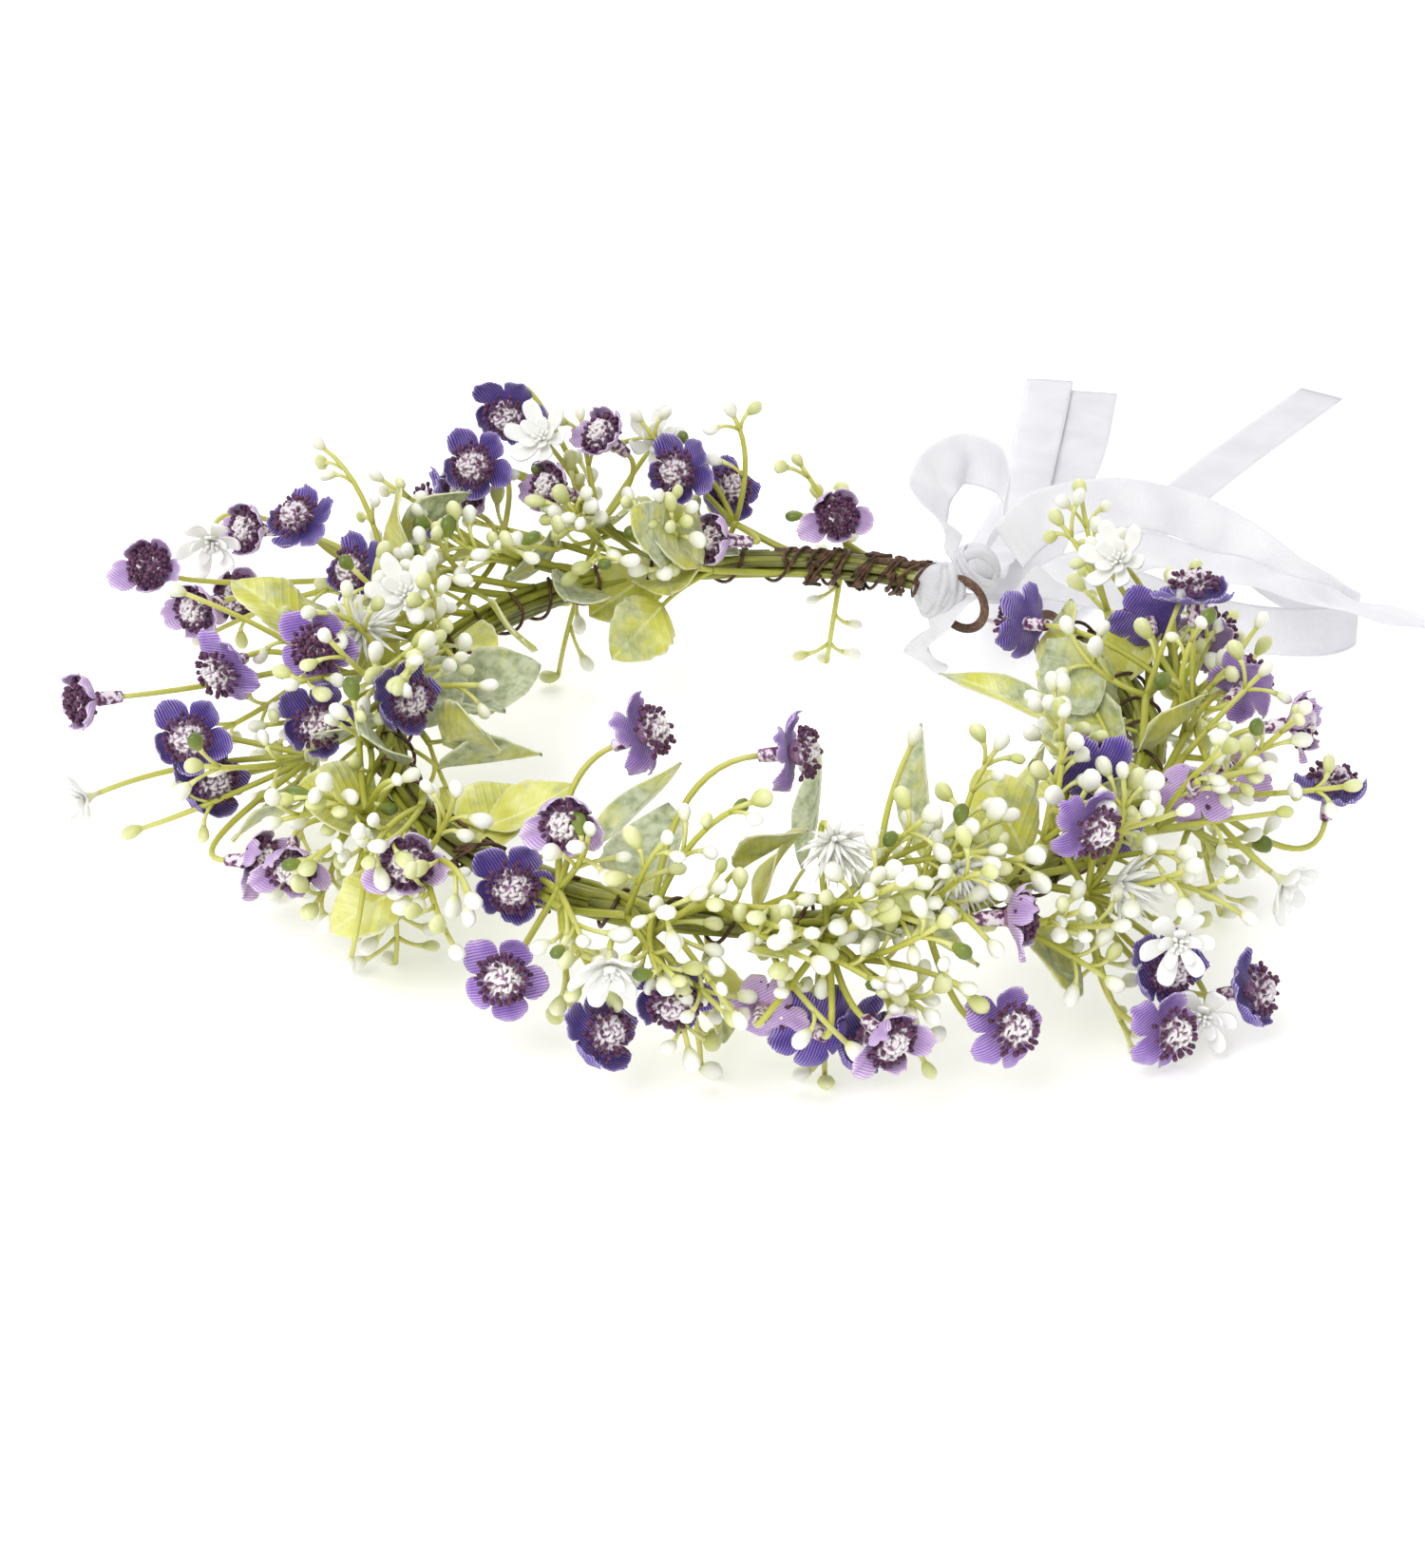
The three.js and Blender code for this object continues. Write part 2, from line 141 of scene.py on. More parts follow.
def linear(code):
    """sRGB hex to linear: v / 12.92 when dark, else ((v + 0.055) / 1.055) to the power 2.4."""
    parts = [int(code[i:i + 2], 16) / 255 for i in (1, 3, 5)]
    return (*[v / 12.92 if v <= 0.04045 else ((v + 0.055) / 1.055) ** 2.4 for v in parts], 1.0)


def add(material, kind, *values, stops=(), **named):
    """Adds a node: values fill its inputs in order, a capitalised name is the input of that name,
    a small one is a setting, and stops are the places and colours of a ramp."""
    tree = material.node_tree
    made = tree.nodes.new("ShaderNode" + kind)
    for name in filter(str.islower, named):
        setattr(made, name, named[name])
    filled = list(zip([socket for socket in made.inputs if socket.enabled], values))
    filled += [(made.inputs[name.replace("_", " ")], value)
               for name, value in named.items() if not name.islower()]
    for socket, value in filled:
        if isinstance(value, bpy.types.Node):
            value = next(output for output in value.outputs if output.enabled)
        if isinstance(value, bpy.types.NodeSocket):
            tree.links.new(value, socket)
        else:
            socket.default_value = value
    for _ in stops[2:]:
        made.color_ramp.elements.new(0.5)
    for element, (position, code) in zip(made.color_ramp.elements if stops else (), stops):
        element.position, element.color = position, linear(code)
    return made


def new_material(name):
    """An empty material, and each point's own place on the piece, in metres."""
    material = bpy.data.materials.new(name)
    material.use_nodes = True
    material.node_tree.nodes.clear()
    return material, add(material, "TexCoord").outputs["Object"]


def blotches(size_mm):
    """The scale of a noise whose blotches are about that wide: blotch width / size in metres."""
    return NOISE_BLOTCH / (size_mm * MM)


def finish_material(material, colour, height, height_mm, **settings):
    """Ends a material with one shader: its constants, the colour, and bumps of that height."""
    bump = add(material, "Bump", Height=height, Distance=height_mm * MM, Strength=1.0)
    shader = add(material, "BsdfPrincipled", Base_Color=colour, Normal=bump, **settings)
    add(material, "OutputMaterial", shader)
    return material


print("1 mm is", MM, "m")

# %% [markdown]
# ## Wires
#
# The hoop is floral wire wound in brown crepe paper: matt, fibrous, with the paper's edge showing
# as a fine spiral. The binding wire is annealed steel that has darkened to brown, so it keeps a
# dull metal gleam.

# %% Wire materials
def crepe_paper_wire():
    material, spot = new_material("crepe_paper_wound_wire")
    flat = add(material, "SeparateXYZ", add(material, "UVMap", uv_map="flat")).outputs
    # the paper is wound at a slant: one edge every 2.2 mm of wire
    slant = add(material, "Math", flat["X"], 0.27, flat["Y"], operation="MULTIPLY_ADD")
    turns = add(material, "Math", slant, 2 * np.pi / 2.2, operation="MULTIPLY")
    spiral = add(material, "Math", turns, operation="SINE")
    fibre = add(material, "TexNoise", spot, blotches(0.5), 4)
    blotch = add(material, "TexNoise", spot, blotches(6), 2)
    faded = add(material, "Math", blotch, 0.4, operation="MULTIPLY")
    paper = add(material, "Math", fibre, 0.6, faded, operation="MULTIPLY_ADD")
    colour = add(material, "ValToRGB", paper, stops=[
        (0.3, "#3a281c"), (0.5, "#5f4637"), (0.68, "#8a6b54")])
    height = add(material, "Math", spiral, 0.5, fibre, operation="MULTIPLY_ADD")
    return finish_material(material, colour, height, 0.12, Roughness=0.78)


def annealed_binding_wire():
    material, spot = new_material("annealed_binding_wire")
    scale = add(material, "TexNoise", spot, blotches(1.2), 4)
    colour = add(material, "ValToRGB", scale, stops=[
        (0.3, "#2e1d14"), (0.55, "#5a3f2d"), (0.75, "#7d5c42")])
    roughness = add(material, "MapRange", scale, 0.0, 1.0, 0.4, 0.65)
    return finish_material(material, colour, scale, 0.05, Metallic=0.35, Roughness=roughness)


HOOP_WIRE, BINDING_WIRE = crepe_paper_wire(), annealed_binding_wire()
print("wires:", HOOP_WIRE.name, BINDING_WIRE.name)

# %% [markdown]
# ## Moulded blossom
#
# Stems, buds and white flowers are injection-moulded polyethylene: waxy, a little translucent,
# with soft highlights. The colour is dipped, not painted on, so it changes slowly from the yellow
# green of a stem to the white of a bud. The darkest olive, on the stems inside the bundle, is
# painted shade. The mesh carries both as a number called tone, and a second number, tint, tells
# one bud from the next.

# %% Moulded materials
def tone_with_cloud(material, cloud, strength):
    """The tone of each point with a cloud of noise: tone + strength (cloud - 1/2)."""
    tone = add(material, "Attribute", attribute_name="tone").outputs["Fac"]
    drift = add(material, "Math", cloud, strength, -strength / 2, operation="MULTIPLY_ADD")
    return add(material, "Math", tone, drift, operation="ADD")


def moulded_stem():
    material, spot = new_material("moulded_polyethylene_stem")
    tint = add(material, "Attribute", attribute_name="tint").outputs["Fac"]
    tone_level = tone_with_cloud(material, add(material, "TexNoise", spot, blotches(3), 3), 0.3)
    # the darkest olive near tone 0 is painted shade for the stems inside the bundle; the paler
    # greens up to tone 1 are the moulding's own colour, lighter toward the tips
    base = add(material, "ValToRGB", tone_level, stops=[
        (0.0, "#626421"), (0.25, "#939530"), (0.6, "#baba49"), (1.0, "#dada94")])
    colour = add(material, "Mix", tint, base, linear("#e7e9bf"), data_type="RGBA")
    height = add(material, "TexNoise", spot, blotches(0.8), 2)
    return finish_material(
        material, colour, height, 0.05, Roughness=0.4, IOR=1.51, Subsurface_Weight=0.12,
        Subsurface_Radius=(1.0, 1.0, 0.4), Subsurface_Scale=0.0012)


def moulded_bud():
    material, spot = new_material("moulded_polyethylene_bud")
    tint = add(material, "Attribute", attribute_name="tint").outputs["Fac"]
    tone_level = tone_with_cloud(material, add(material, "TexNoise", spot, blotches(2.5), 2), 0.24)
    white = add(material, "ValToRGB", tone_level, stops=[
        (0.04, "#b1b657"), (0.22, "#dadcaa"), (0.42, "#eeeee4"), (1.0, "#f4f4f1")])
    pale = add(material, "ValToRGB", tone_level, stops=[
        (0.0, "#acb14d"), (0.4, "#c9cd7e"), (1.0, "#e3e4b6")])
    green = add(material, "ValToRGB", tone_level, stops=[
        (0.0, "#99a53c"), (0.4, "#75852f"), (1.0, "#586a28")])
    # tint runs from a white bud, over a pale green one at 0.5, to a dark green one at 1
    greener = add(material, "MapRange", tint, 0.0, 0.5)
    darkest = add(material, "MapRange", tint, 0.6, 1.0)
    light = add(material, "Mix", greener, white, pale, data_type="RGBA")
    colour = add(material, "Mix", darkest, light, green, data_type="RGBA")
    height = add(material, "TexNoise", spot, blotches(0.6), 3)
    return finish_material(
        material, colour, height, 0.05, Roughness=0.36, IOR=1.51, Subsurface_Weight=0.25,
        Subsurface_Radius=(1.0, 1.0, 0.7), Subsurface_Scale=0.0015)


def moulded_white_petal():
    material, spot = new_material("moulded_polyethylene_petal")
    cloud = add(material, "TexNoise", spot, blotches(2), 3)
    colour = add(material, "ValToRGB", tone_with_cloud(material, cloud, 0.2), stops=[
        (0.0, "#d3d68c"), (0.2, "#e6e6d1"), (0.45, "#efefea"), (1.0, "#f4f4f2")])
    return finish_material(
        material, colour, cloud, 0.08, Roughness=0.42, IOR=1.51, Subsurface_Weight=0.25,
        Subsurface_Radius=(1.0, 1.0, 0.8), Subsurface_Scale=0.0015)


STEM, BUD, WHITE_PETAL = moulded_stem(), moulded_bud(), moulded_white_petal()
print("moulded:", STEM.name, BUD.name, WHITE_PETAL.name)

# %% [markdown]
# ## Cloth and thread
#
# The petals are punched from a coarse polyester ribbon weave with parallel cords in one
# direction. The dye sits on the cords and the thread between them stays pale. The cut edge
# frays. The stamens are nylon threads dipped in burgundy.

# %% Cloth materials
def woven_petal(name, deep, middle, pale):
    material, spot = new_material(name)
    flat = add(material, "SeparateXYZ", add(material, "UVMap", uv_map="flat")).outputs
    tone = add(material, "Attribute", attribute_name="tone").outputs["Fac"]
    strain = add(material, "TexNoise", spot, blotches(2.5), 2)
    wander = add(material, "Math", strain, 2.2, -1.1, operation="MULTIPLY_ADD")
    # cords lie 0.7 mm apart, crossed by finer threads 0.45 mm apart
    cords = add(material, "Math", flat["X"], 2 * np.pi / 0.7, wander, operation="MULTIPLY_ADD")
    threads = add(material, "Math", flat["Y"], 2 * np.pi / 0.45, operation="MULTIPLY")
    cord = add(material, "Math", cords, operation="SINE")
    cross = add(material, "Math", threads, operation="SINE")
    crossed = add(material, "Math", cross, 0.3, cord, operation="MULTIPLY_ADD")
    weave = add(material, "Math", crossed, 0.38, 0.5, operation="MULTIPLY_ADD")
    # the cut edge, where tone nears 1, is worn pale
    edge = add(material, "Math", tone, 9.0, operation="POWER")
    worn = add(material, "Math", edge, 0.35, operation="MULTIPLY")
    blotch = add(material, "TexNoise", spot, blotches(4), 3)
    faded = add(material, "Math", blotch, 0.7, -0.2, operation="MULTIPLY_ADD")
    raised = add(material, "Math", weave, 0.55, worn, operation="MULTIPLY_ADD")
    level = add(material, "Math", raised, faded, operation="ADD")
    colour = add(material, "ValToRGB", level, stops=[(0.12, deep), (0.5, middle), (0.95, pale)])
    return finish_material(
        material, colour, weave, 0.14, Roughness=0.82, Sheen_Weight=0.25, Sheen_Roughness=0.5)


def nylon_stamen():
    material, spot = new_material("dipped_nylon_stamen")
    grain = add(material, "TexNoise", spot, blotches(0.5), 3)
    colour = add(material, "ValToRGB", tone_with_cloud(material, grain, 0.3), stops=[
        (0.0, "#f4f0ee"), (0.3, "#d9cbd7"), (0.52, "#93658a"), (0.72, "#5f2a52"), (1.0, "#44193a")])
    return finish_material(material, colour, grain, 0.06, Roughness=0.55, Sheen_Weight=0.1)


def speckled_tube():
    material, spot = new_material("flocked_stamen_tube")
    speck = add(material, "TexNoise", spot, blotches(0.9), 2)
    colour = add(material, "ValToRGB", speck, stops=[
        (0.4, "#5b2f52"), (0.48, "#9a7795"), (0.56, "#e6dde4")])
    return finish_material(material, colour, speck, 0.15, Roughness=0.85)


PETALS = {
    "lilac": woven_petal("woven_polyester_lilac", "#9c7ab9", "#bf9ed1", "#ecddf2"),
    "purple": woven_petal("woven_polyester_purple", "#6d499f", "#946fc0", "#d8c4e6"),
    "violet": woven_petal("woven_polyester_violet", "#35207a", "#573a98", "#bdade0"),
}
STAMEN, STAMEN_TUBE = nylon_stamen(), speckled_tube()
print("petal cloths:", ", ".join(m.name for m in PETALS.values()))

# %% [markdown]
# ## Leaves and ribbon
#
# The leaves are pressed cloth printed yellow green, and dusted with a powdery grey-green flock
# that leaves the printed green bare in patches. The ribbon is a thin white satin, a little lilac
# in the folds, with a fine weft and a woven selvedge along each edge. Light passes through it, so
# its shaded side stays bright.

# %% Leaf and ribbon materials
def flocked_leaf():
    material, spot = new_material("flocked_cloth_leaf")
    flat = add(material, "SeparateXYZ", add(material, "UVMap", uv_map="flat")).outputs
    tone, tint = (add(material, "Attribute", attribute_name=name).outputs["Fac"]
                  for name in ("tone", "tint"))
    across = add(material, "Math", flat["X"], operation="ABSOLUTE")
    # side veins leave the midrib at a slant, 3 mm apart
    slant = add(material, "Math", across, -0.9, flat["Y"], operation="MULTIPLY_ADD")
    row = add(material, "Math", slant, np.pi / 3.0, operation="MULTIPLY")
    ripple = add(
        material, "Math", add(material, "Math", row, operation="SINE"), operation="ABSOLUTE")
    vein = add(material, "Math", ripple, 6.0, operation="POWER")
    near_middle = add(material, "Math", across, 0.45, operation="LESS_THAN")
    midrib = add(material, "Math", near_middle, 0.5, operation="MULTIPLY")
    shade = add(material, "TexNoise", spot, blotches(6), 3)
    printed = add(material, "ValToRGB", shade, stops=[
        (0.3, "#aeae3c"), (0.5, "#cac959"), (0.7, "#e2e39c")])
    lines = add(material, "Math", vein, 0.1, midrib, operation="MULTIPLY_ADD")
    veined = add(material, "Mix", lines, printed, linear("#e7e9b0"), data_type="RGBA")
    powder = add(material, "TexNoise", spot, blotches(1.6), 4)
    flock = add(material, "ValToRGB", powder, stops=[(0.3, "#86926a"), (0.62, "#bec4a8")])
    patches = add(material, "TexNoise", spot, blotches(7), 5, 0.65)
    share = add(material, "Math", tint, 0.3, -0.12, operation="MULTIPLY_ADD")
    dusty = add(material, "Math", patches, share, operation="ADD")
    dusted = add(material, "MapRange", dusty, 0.4, 0.62)
    colour = add(material, "Mix", dusted, veined, flock, data_type="RGBA")
    edge = add(material, "MapRange", tone, 0.88, 1.0)
    rim = add(material, "Math", edge, 0.6, operation="MULTIPLY")
    rimmed = add(material, "Mix", rim, colour, linear("#eaeaca"), data_type="RGBA")
    grain = add(material, "TexNoise", spot, blotches(0.6), 4)
    height = add(material, "Math", grain, dusted, vein, operation="MULTIPLY_ADD")
    return finish_material(
        material, rimmed, height, 0.15, Roughness=0.8, Sheen_Weight=0.15, Subsurface_Weight=0.15,
        Subsurface_Radius=(1.0, 1.0, 0.3), Subsurface_Scale=0.002)


def satin_ribbon():
    material, spot = new_material("woven_satin_ribbon")
    flat = add(material, "SeparateXYZ", add(material, "UVMap", uv_map="flat")).outputs
    # weft threads lie 0.25 mm apart on satin; drawn 0.6 mm apart so that they show
    strain = add(material, "TexNoise", spot, blotches(3), 2)
    wander = add(material, "Math", strain, 3.0, operation="MULTIPLY")
    picks = add(material, "Math", flat["Y"], 2 * np.pi / 0.6, wander, operation="MULTIPLY_ADD")
    weft = add(material, "Math", picks, operation="SINE")
    across = add(material, "Math", flat["X"], operation="ABSOLUTE")
    # the selvedge is the last 0.4 to 0.9 mm of the half-width of 7.5 mm
    selvedge = add(material, "MapRange", across, 6.6, 7.1)
    shade = add(material, "TexNoise", spot, blotches(9), 2)
    level = add(material, "Math", weft, 0.1, shade, operation="MULTIPLY_ADD")
    cloth = add(material, "ValToRGB", level, stops=[
        (0.25, "#d0cfd7"), (0.5, "#dad9df"), (0.75, "#e3e2e7")])
    hem = add(material, "Math", selvedge, 0.5, operation="MULTIPLY")
    colour = add(material, "Mix", hem, cloth, linear("#e9e8ee"), data_type="RGBA")
    height = add(material, "Math", selvedge, 1.5, weft, operation="MULTIPLY_ADD")
    # the small glow stands for the light that the table sends up through the thin cloth
    return finish_material(
        material, colour, height, 0.03, Roughness=0.42, Sheen_Weight=0.4, Sheen_Roughness=0.3,
        Subsurface_Weight=0.35, Subsurface_Radius=(1.0, 1.0, 1.0), Subsurface_Scale=0.004,
        Emission_Color=(0.96, 0.95, 1.0, 1), Emission_Strength=0.02)


LEAF, RIBBON = flocked_leaf(), satin_ribbon()
print("leaf and ribbon:", LEAF.name, RIBBON.name)

# %% [markdown]
# ## Surfaces from numbers
#
# Every shape here is a grid of points worked out at once with numpy, with one direction along
# the piece and one around or across it. Repeated shapes, such as twigs and buds, are worked out
# together as one block with a first axis for each copy. The last step turns the blocks into one
# mesh and merges the points of each seam and pole, which leaves closed skins.

# %% Grids to meshes
WELD_DISTANCE = 1e-7


def patch(points, tone=0.0, tint=0.0, flat=0.0, material=0):
    """A block of grids, shaped copies x rows x columns x 3, with its numbers spread to match."""
    points = np.asarray(points, float)
    points = points.reshape((-1,) + points.shape[-3:])
    shape = points.shape[:-1]
    return {
        "points": points, "material": material,
        "tone": np.broadcast_to(tone, shape), "tint": np.broadcast_to(tint, shape),
        "flat": np.broadcast_to(flat, shape + (2,)),
    }


def grid_quads(shape, first):
    """Corner numbers of every face of copies x rows x columns points, anticlockwise outside."""
    corner = first + np.arange(np.prod(shape)).reshape(shape)
    return np.stack([
        corner[:, :-1, :-1], corner[:, :-1, 1:], corner[:, 1:, 1:], corner[:, 1:, :-1],
    ], -1).reshape(-1, 4)


def make_piece(name, patches, materials, body, thickness=0.0):
    """Joins blocks into one mesh in metres, closes its seams, and hangs it on a body."""
    points = np.concatenate([p["points"].reshape(-1, 3) for p in patches])
    starts = np.cumsum([0] + [p["points"].size // 3 for p in patches])
    quads = [grid_quads(p["points"].shape[:3], s) for p, s in zip(patches, starts)]
    faces = np.concatenate(quads)
    mesh = bpy.data.meshes.new(name)
    mesh.from_pydata(points * MM + CROWN_ORIGIN, [], faces)
    flat = np.concatenate([p["flat"].reshape(-1, 2) for p in patches])
    mesh.uv_layers.new(name="flat").data.foreach_set("uv", flat[faces.ravel()].ravel())
    for key in ("tone", "tint"):
        values = np.concatenate([p[key].ravel() for p in patches])
        mesh.attributes.new(key, "FLOAT", "POINT").data.foreach_set("value", values)
    used = np.repeat([p["material"] for p in patches], [len(q) for q in quads])
    for material in materials:
        mesh.materials.append(material)
    mesh.polygons.foreach_set("material_index", used)
    mesh.polygons.foreach_set("use_smooth", np.ones(len(faces), bool))
    welded = bmesh.new()
    welded.from_mesh(mesh)
    bmesh.ops.remove_doubles(welded, verts=welded.verts, dist=WELD_DISTANCE)
    welded.to_mesh(mesh)
    welded.free()
    piece = bpy.data.objects.new(name, mesh)
    bpy.context.collection.objects.link(piece)
    if thickness:
        wall = piece.modifiers.new("wall", "SOLIDIFY")
        wall.thickness, wall.offset = thickness * MM, 0.0
    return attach(piece, body) if body else piece


# %% Paths, tubes and turned shapes
def smooth_path(points, count):
    """Centripetal Catmull-Rom: a cubic between each two points, slower where they are close."""
    points = np.asarray(points, float)
    ends = 2 * points[[0, -1]] - points[[1, -2]]
    held = np.concatenate([ends[:1], points, ends[1:]])
    step = np.maximum(np.linalg.norm(np.diff(held, axis=0), axis=1, keepdims=True) ** 0.5, 1e-4)
    p0, p1, p2, p3 = (held[i:len(held) - 3 + i] for i in range(4))
    d0, d1, d2 = (step[i:len(step) - 2 + i] for i in range(3))
    leave = ((p1 - p0) / d0 - (p2 - p0) / (d0 + d1) + (p2 - p1) / d1) * d1
    arrive = ((p2 - p1) / d1 - (p3 - p1) / (d1 + d2) + (p3 - p2) / d2) * d1
    t = np.linspace(0, len(points) - 1, count)
    k = np.minimum(t.astype(int), len(points) - 2)
    f = (t - k)[:, None]
    square, cube = -3 * p1 + 3 * p2 - 2 * leave - arrive, 2 * p1 - 2 * p2 + leave + arrive
    return p1[k] + leave[k] * f + square[k] * f ** 2 + cube[k] * f ** 3


def bends(start, middle, end, count):
    """Quadratic Bezier curves: (1-t)^2 start + 2t(1-t) middle + t^2 end, for whole blocks."""
    t = np.linspace(0, 1, count)[:, None]
    start, middle, end = (np.asarray(p, float)[..., None, :] for p in (start, middle, end))
    return (1 - t) ** 2 * start + 2 * t * (1 - t) * middle + t ** 2 * end


def lengths_along(paths):
    """Distance from the start of each path to each of its points."""
    steps = np.linalg.norm(np.diff(paths, axis=-2), axis=-1)
    return np.concatenate([np.zeros_like(steps[..., :1]), np.cumsum(steps, -1)], -1)


def tubes(paths, radius, sides=6, reference=None, ridges=0.0, **numbers):
    """Round tubes: path + radius (side cos a + up sin a), with both ends closed to a point."""
    paths = np.asarray(paths, float)
    paths = paths.reshape((-1,) + paths.shape[-2:])
    along = unit(np.gradient(paths, axis=1))
    if reference is None:
        reference = np.eye(3)[np.abs(along).max(axis=1).argmin(axis=1)][:, None, :]
    side = unit(np.cross(along, reference))
    up = np.cross(along, side)
    rows = np.r_[0, 0:paths.shape[1], paths.shape[1] - 1]
    open_row = np.r_[0.0, np.ones(paths.shape[1]), 0.0]
    radius = np.broadcast_to(radius, paths.shape[:2])[:, rows] * open_row
    turn = np.linspace(0, 2 * np.pi, sides + 1)
    swell = 1 + ridges * np.cos(2 * turn)
    ring = (side[:, rows, None] * np.cos(turn)[:, None] + up[:, rows, None] * np.sin(turn)[:, None])
    points = paths[:, rows, None] + ring * (radius[..., None] * swell)[..., None]
    run = lengths_along(paths)[:, rows, None] + 0 * turn
    flat = np.stack([np.broadcast_to(radius.max() * turn, run.shape), run], -1)
    for key, value in numbers.items():
        value = np.asarray(value, float)
        if value.ndim and key != "material":
            numbers[key] = np.broadcast_to(value, paths.shape[:2])[:, rows, None]
    return patch(points, flat=flat, **numbers)


def frames_of(directions):
    """Three axes for each direction, as rows: two across it, then the direction itself."""
    directions = unit(np.asarray(directions, float).reshape(-1, 3))
    helper = np.eye(3)[np.abs(directions).argmin(axis=1)]
    first = unit(np.cross(helper, directions))
    return np.stack([first, np.cross(directions, first), directions], 1)


def turned(radii, heights, directions, centres, sides=8, size=1.0, flatness=1.0, **numbers):
    """Shapes of revolution: radius(row) round the direction, height(row) along it."""
    turn = np.linspace(0, 2 * np.pi, sides + 1)
    radii, heights = np.asarray(radii)[:, None], np.asarray(heights)[:, None]
    local = np.stack([
        radii * np.cos(turn), flatness * radii * np.sin(turn), heights + 0 * turn], -1)
    axes = frames_of(directions)
    size = np.broadcast_to(size, len(axes))[:, None, None, None]
    centres = np.asarray(centres, float).reshape(-1, 1, 1, 3)
    return patch(centres + size * np.einsum("ijk,nkl->nijl", local, axes), **numbers)


straight = smooth_path([[0, 0, 0], [9, 0, 0], [30, 0, 0]], 9)
print("a straight 30 mm path is", round(lengths_along(straight)[-1], 6), "mm")

# %% [markdown]
# ## The hoop
#
# The hoop wire runs from one hooked eye round to the other, twin-ridged because two paper-covered
# wires are twisted flat together. It bends opposite its opening, so the middle stretch is a piece
# of its own that rides on neither arm, and the two arms ride on their bodies.

# %% Hoop wire
STRAND_RADIUS, STRAND_RIDGE = 1.0, 0.3
EYE_RADIUS, EYE_ANGLE, EYE_LEAD, EYE_DROP = 7.2, 9.5, 8.4, 4.0
BEND_START, BEND_END, BLEND_REACH = 258.0, 282.0, 0.019


def eye_path(side):
    """From the hoop, over the top of a ring in the upright plane, down and back under."""
    middle = place([90 + side * EYE_ANGLE, 0, -EYE_DROP])
    tangent = unit(place([90 + side * (EYE_ANGLE - 1), 0, -EYE_DROP]) - middle)
    ring = np.radians([118, 90, 60, 30, 0, -30, -60, -90, -120, -150])[:, None]
    hook = middle + EYE_RADIUS * (tangent * np.cos(ring) + np.array([0, 0, 1]) * np.sin(ring))
    lead = np.array([8, 6.5, 5.2])
    arrival = place(np.stack([90 + side * (EYE_ANGLE + lead), 0 * lead, 0 * lead], -1))
    return smooth_path(np.concatenate([arrival, hook]), 90)


def hoop_arc(start, end, count):
    """Points on the hoop's circle between two angles."""
    angle = np.linspace(start, end, count)
    return place(np.stack([angle, 0 * angle, 0 * angle], -1))


def outward_at(path):
    """The level direction away from the hoop's middle at each point."""
    return unit(path * [1, 1, 0])[None]


def hoop_wire(path):
    """The twin-ridged wire along a path, its ridges turned outward and inward."""
    return tubes(path, STRAND_RADIUS, 20, outward_at(path), ridges=STRAND_RIDGE)


def piece_over_bend(name, blocks, material):
    """A piece that crosses the hinge, so it goes over from the right arm to the left one."""
    piece = make_piece(name, blocks, [material], None)
    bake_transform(piece)
    print(name, "blends from the right arm to the left one")


for name, side, start in (("left", 1, BEND_START), ("right", -1, BEND_END - 360)):
    arc = hoop_arc(start, 90 + side * (EYE_ANGLE + EYE_LEAD), 110)
    wire = hoop_wire(np.concatenate([arc, eye_path(side)]))
    piece = make_piece(f"hoop_wire_{name}_arm", [wire], [HOOP_WIRE], f"{name}_arm")
    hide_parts(f"hoop_wire_{name}")
piece_over_bend(
    "hoop_wire_bend", [hoop_wire(hoop_arc(BEND_END, BEND_START, 26))], HOOP_WIRE)

# %% [markdown]
# ## Sprays
#
# A spray is one moulding: a main stem that runs in the bundle round the hoop wire, leaves it
# between two turns of binding wire, and forks into twigs. A twig carries either a fabric flower
# or three to five buds on short stalks. The table gives, for each spray, its arm, the turn of
# binding wire that it leaves by, its slot in the bundle, its fork, then its flowers (colour,
# place, heading, climb) and the places of its buds.

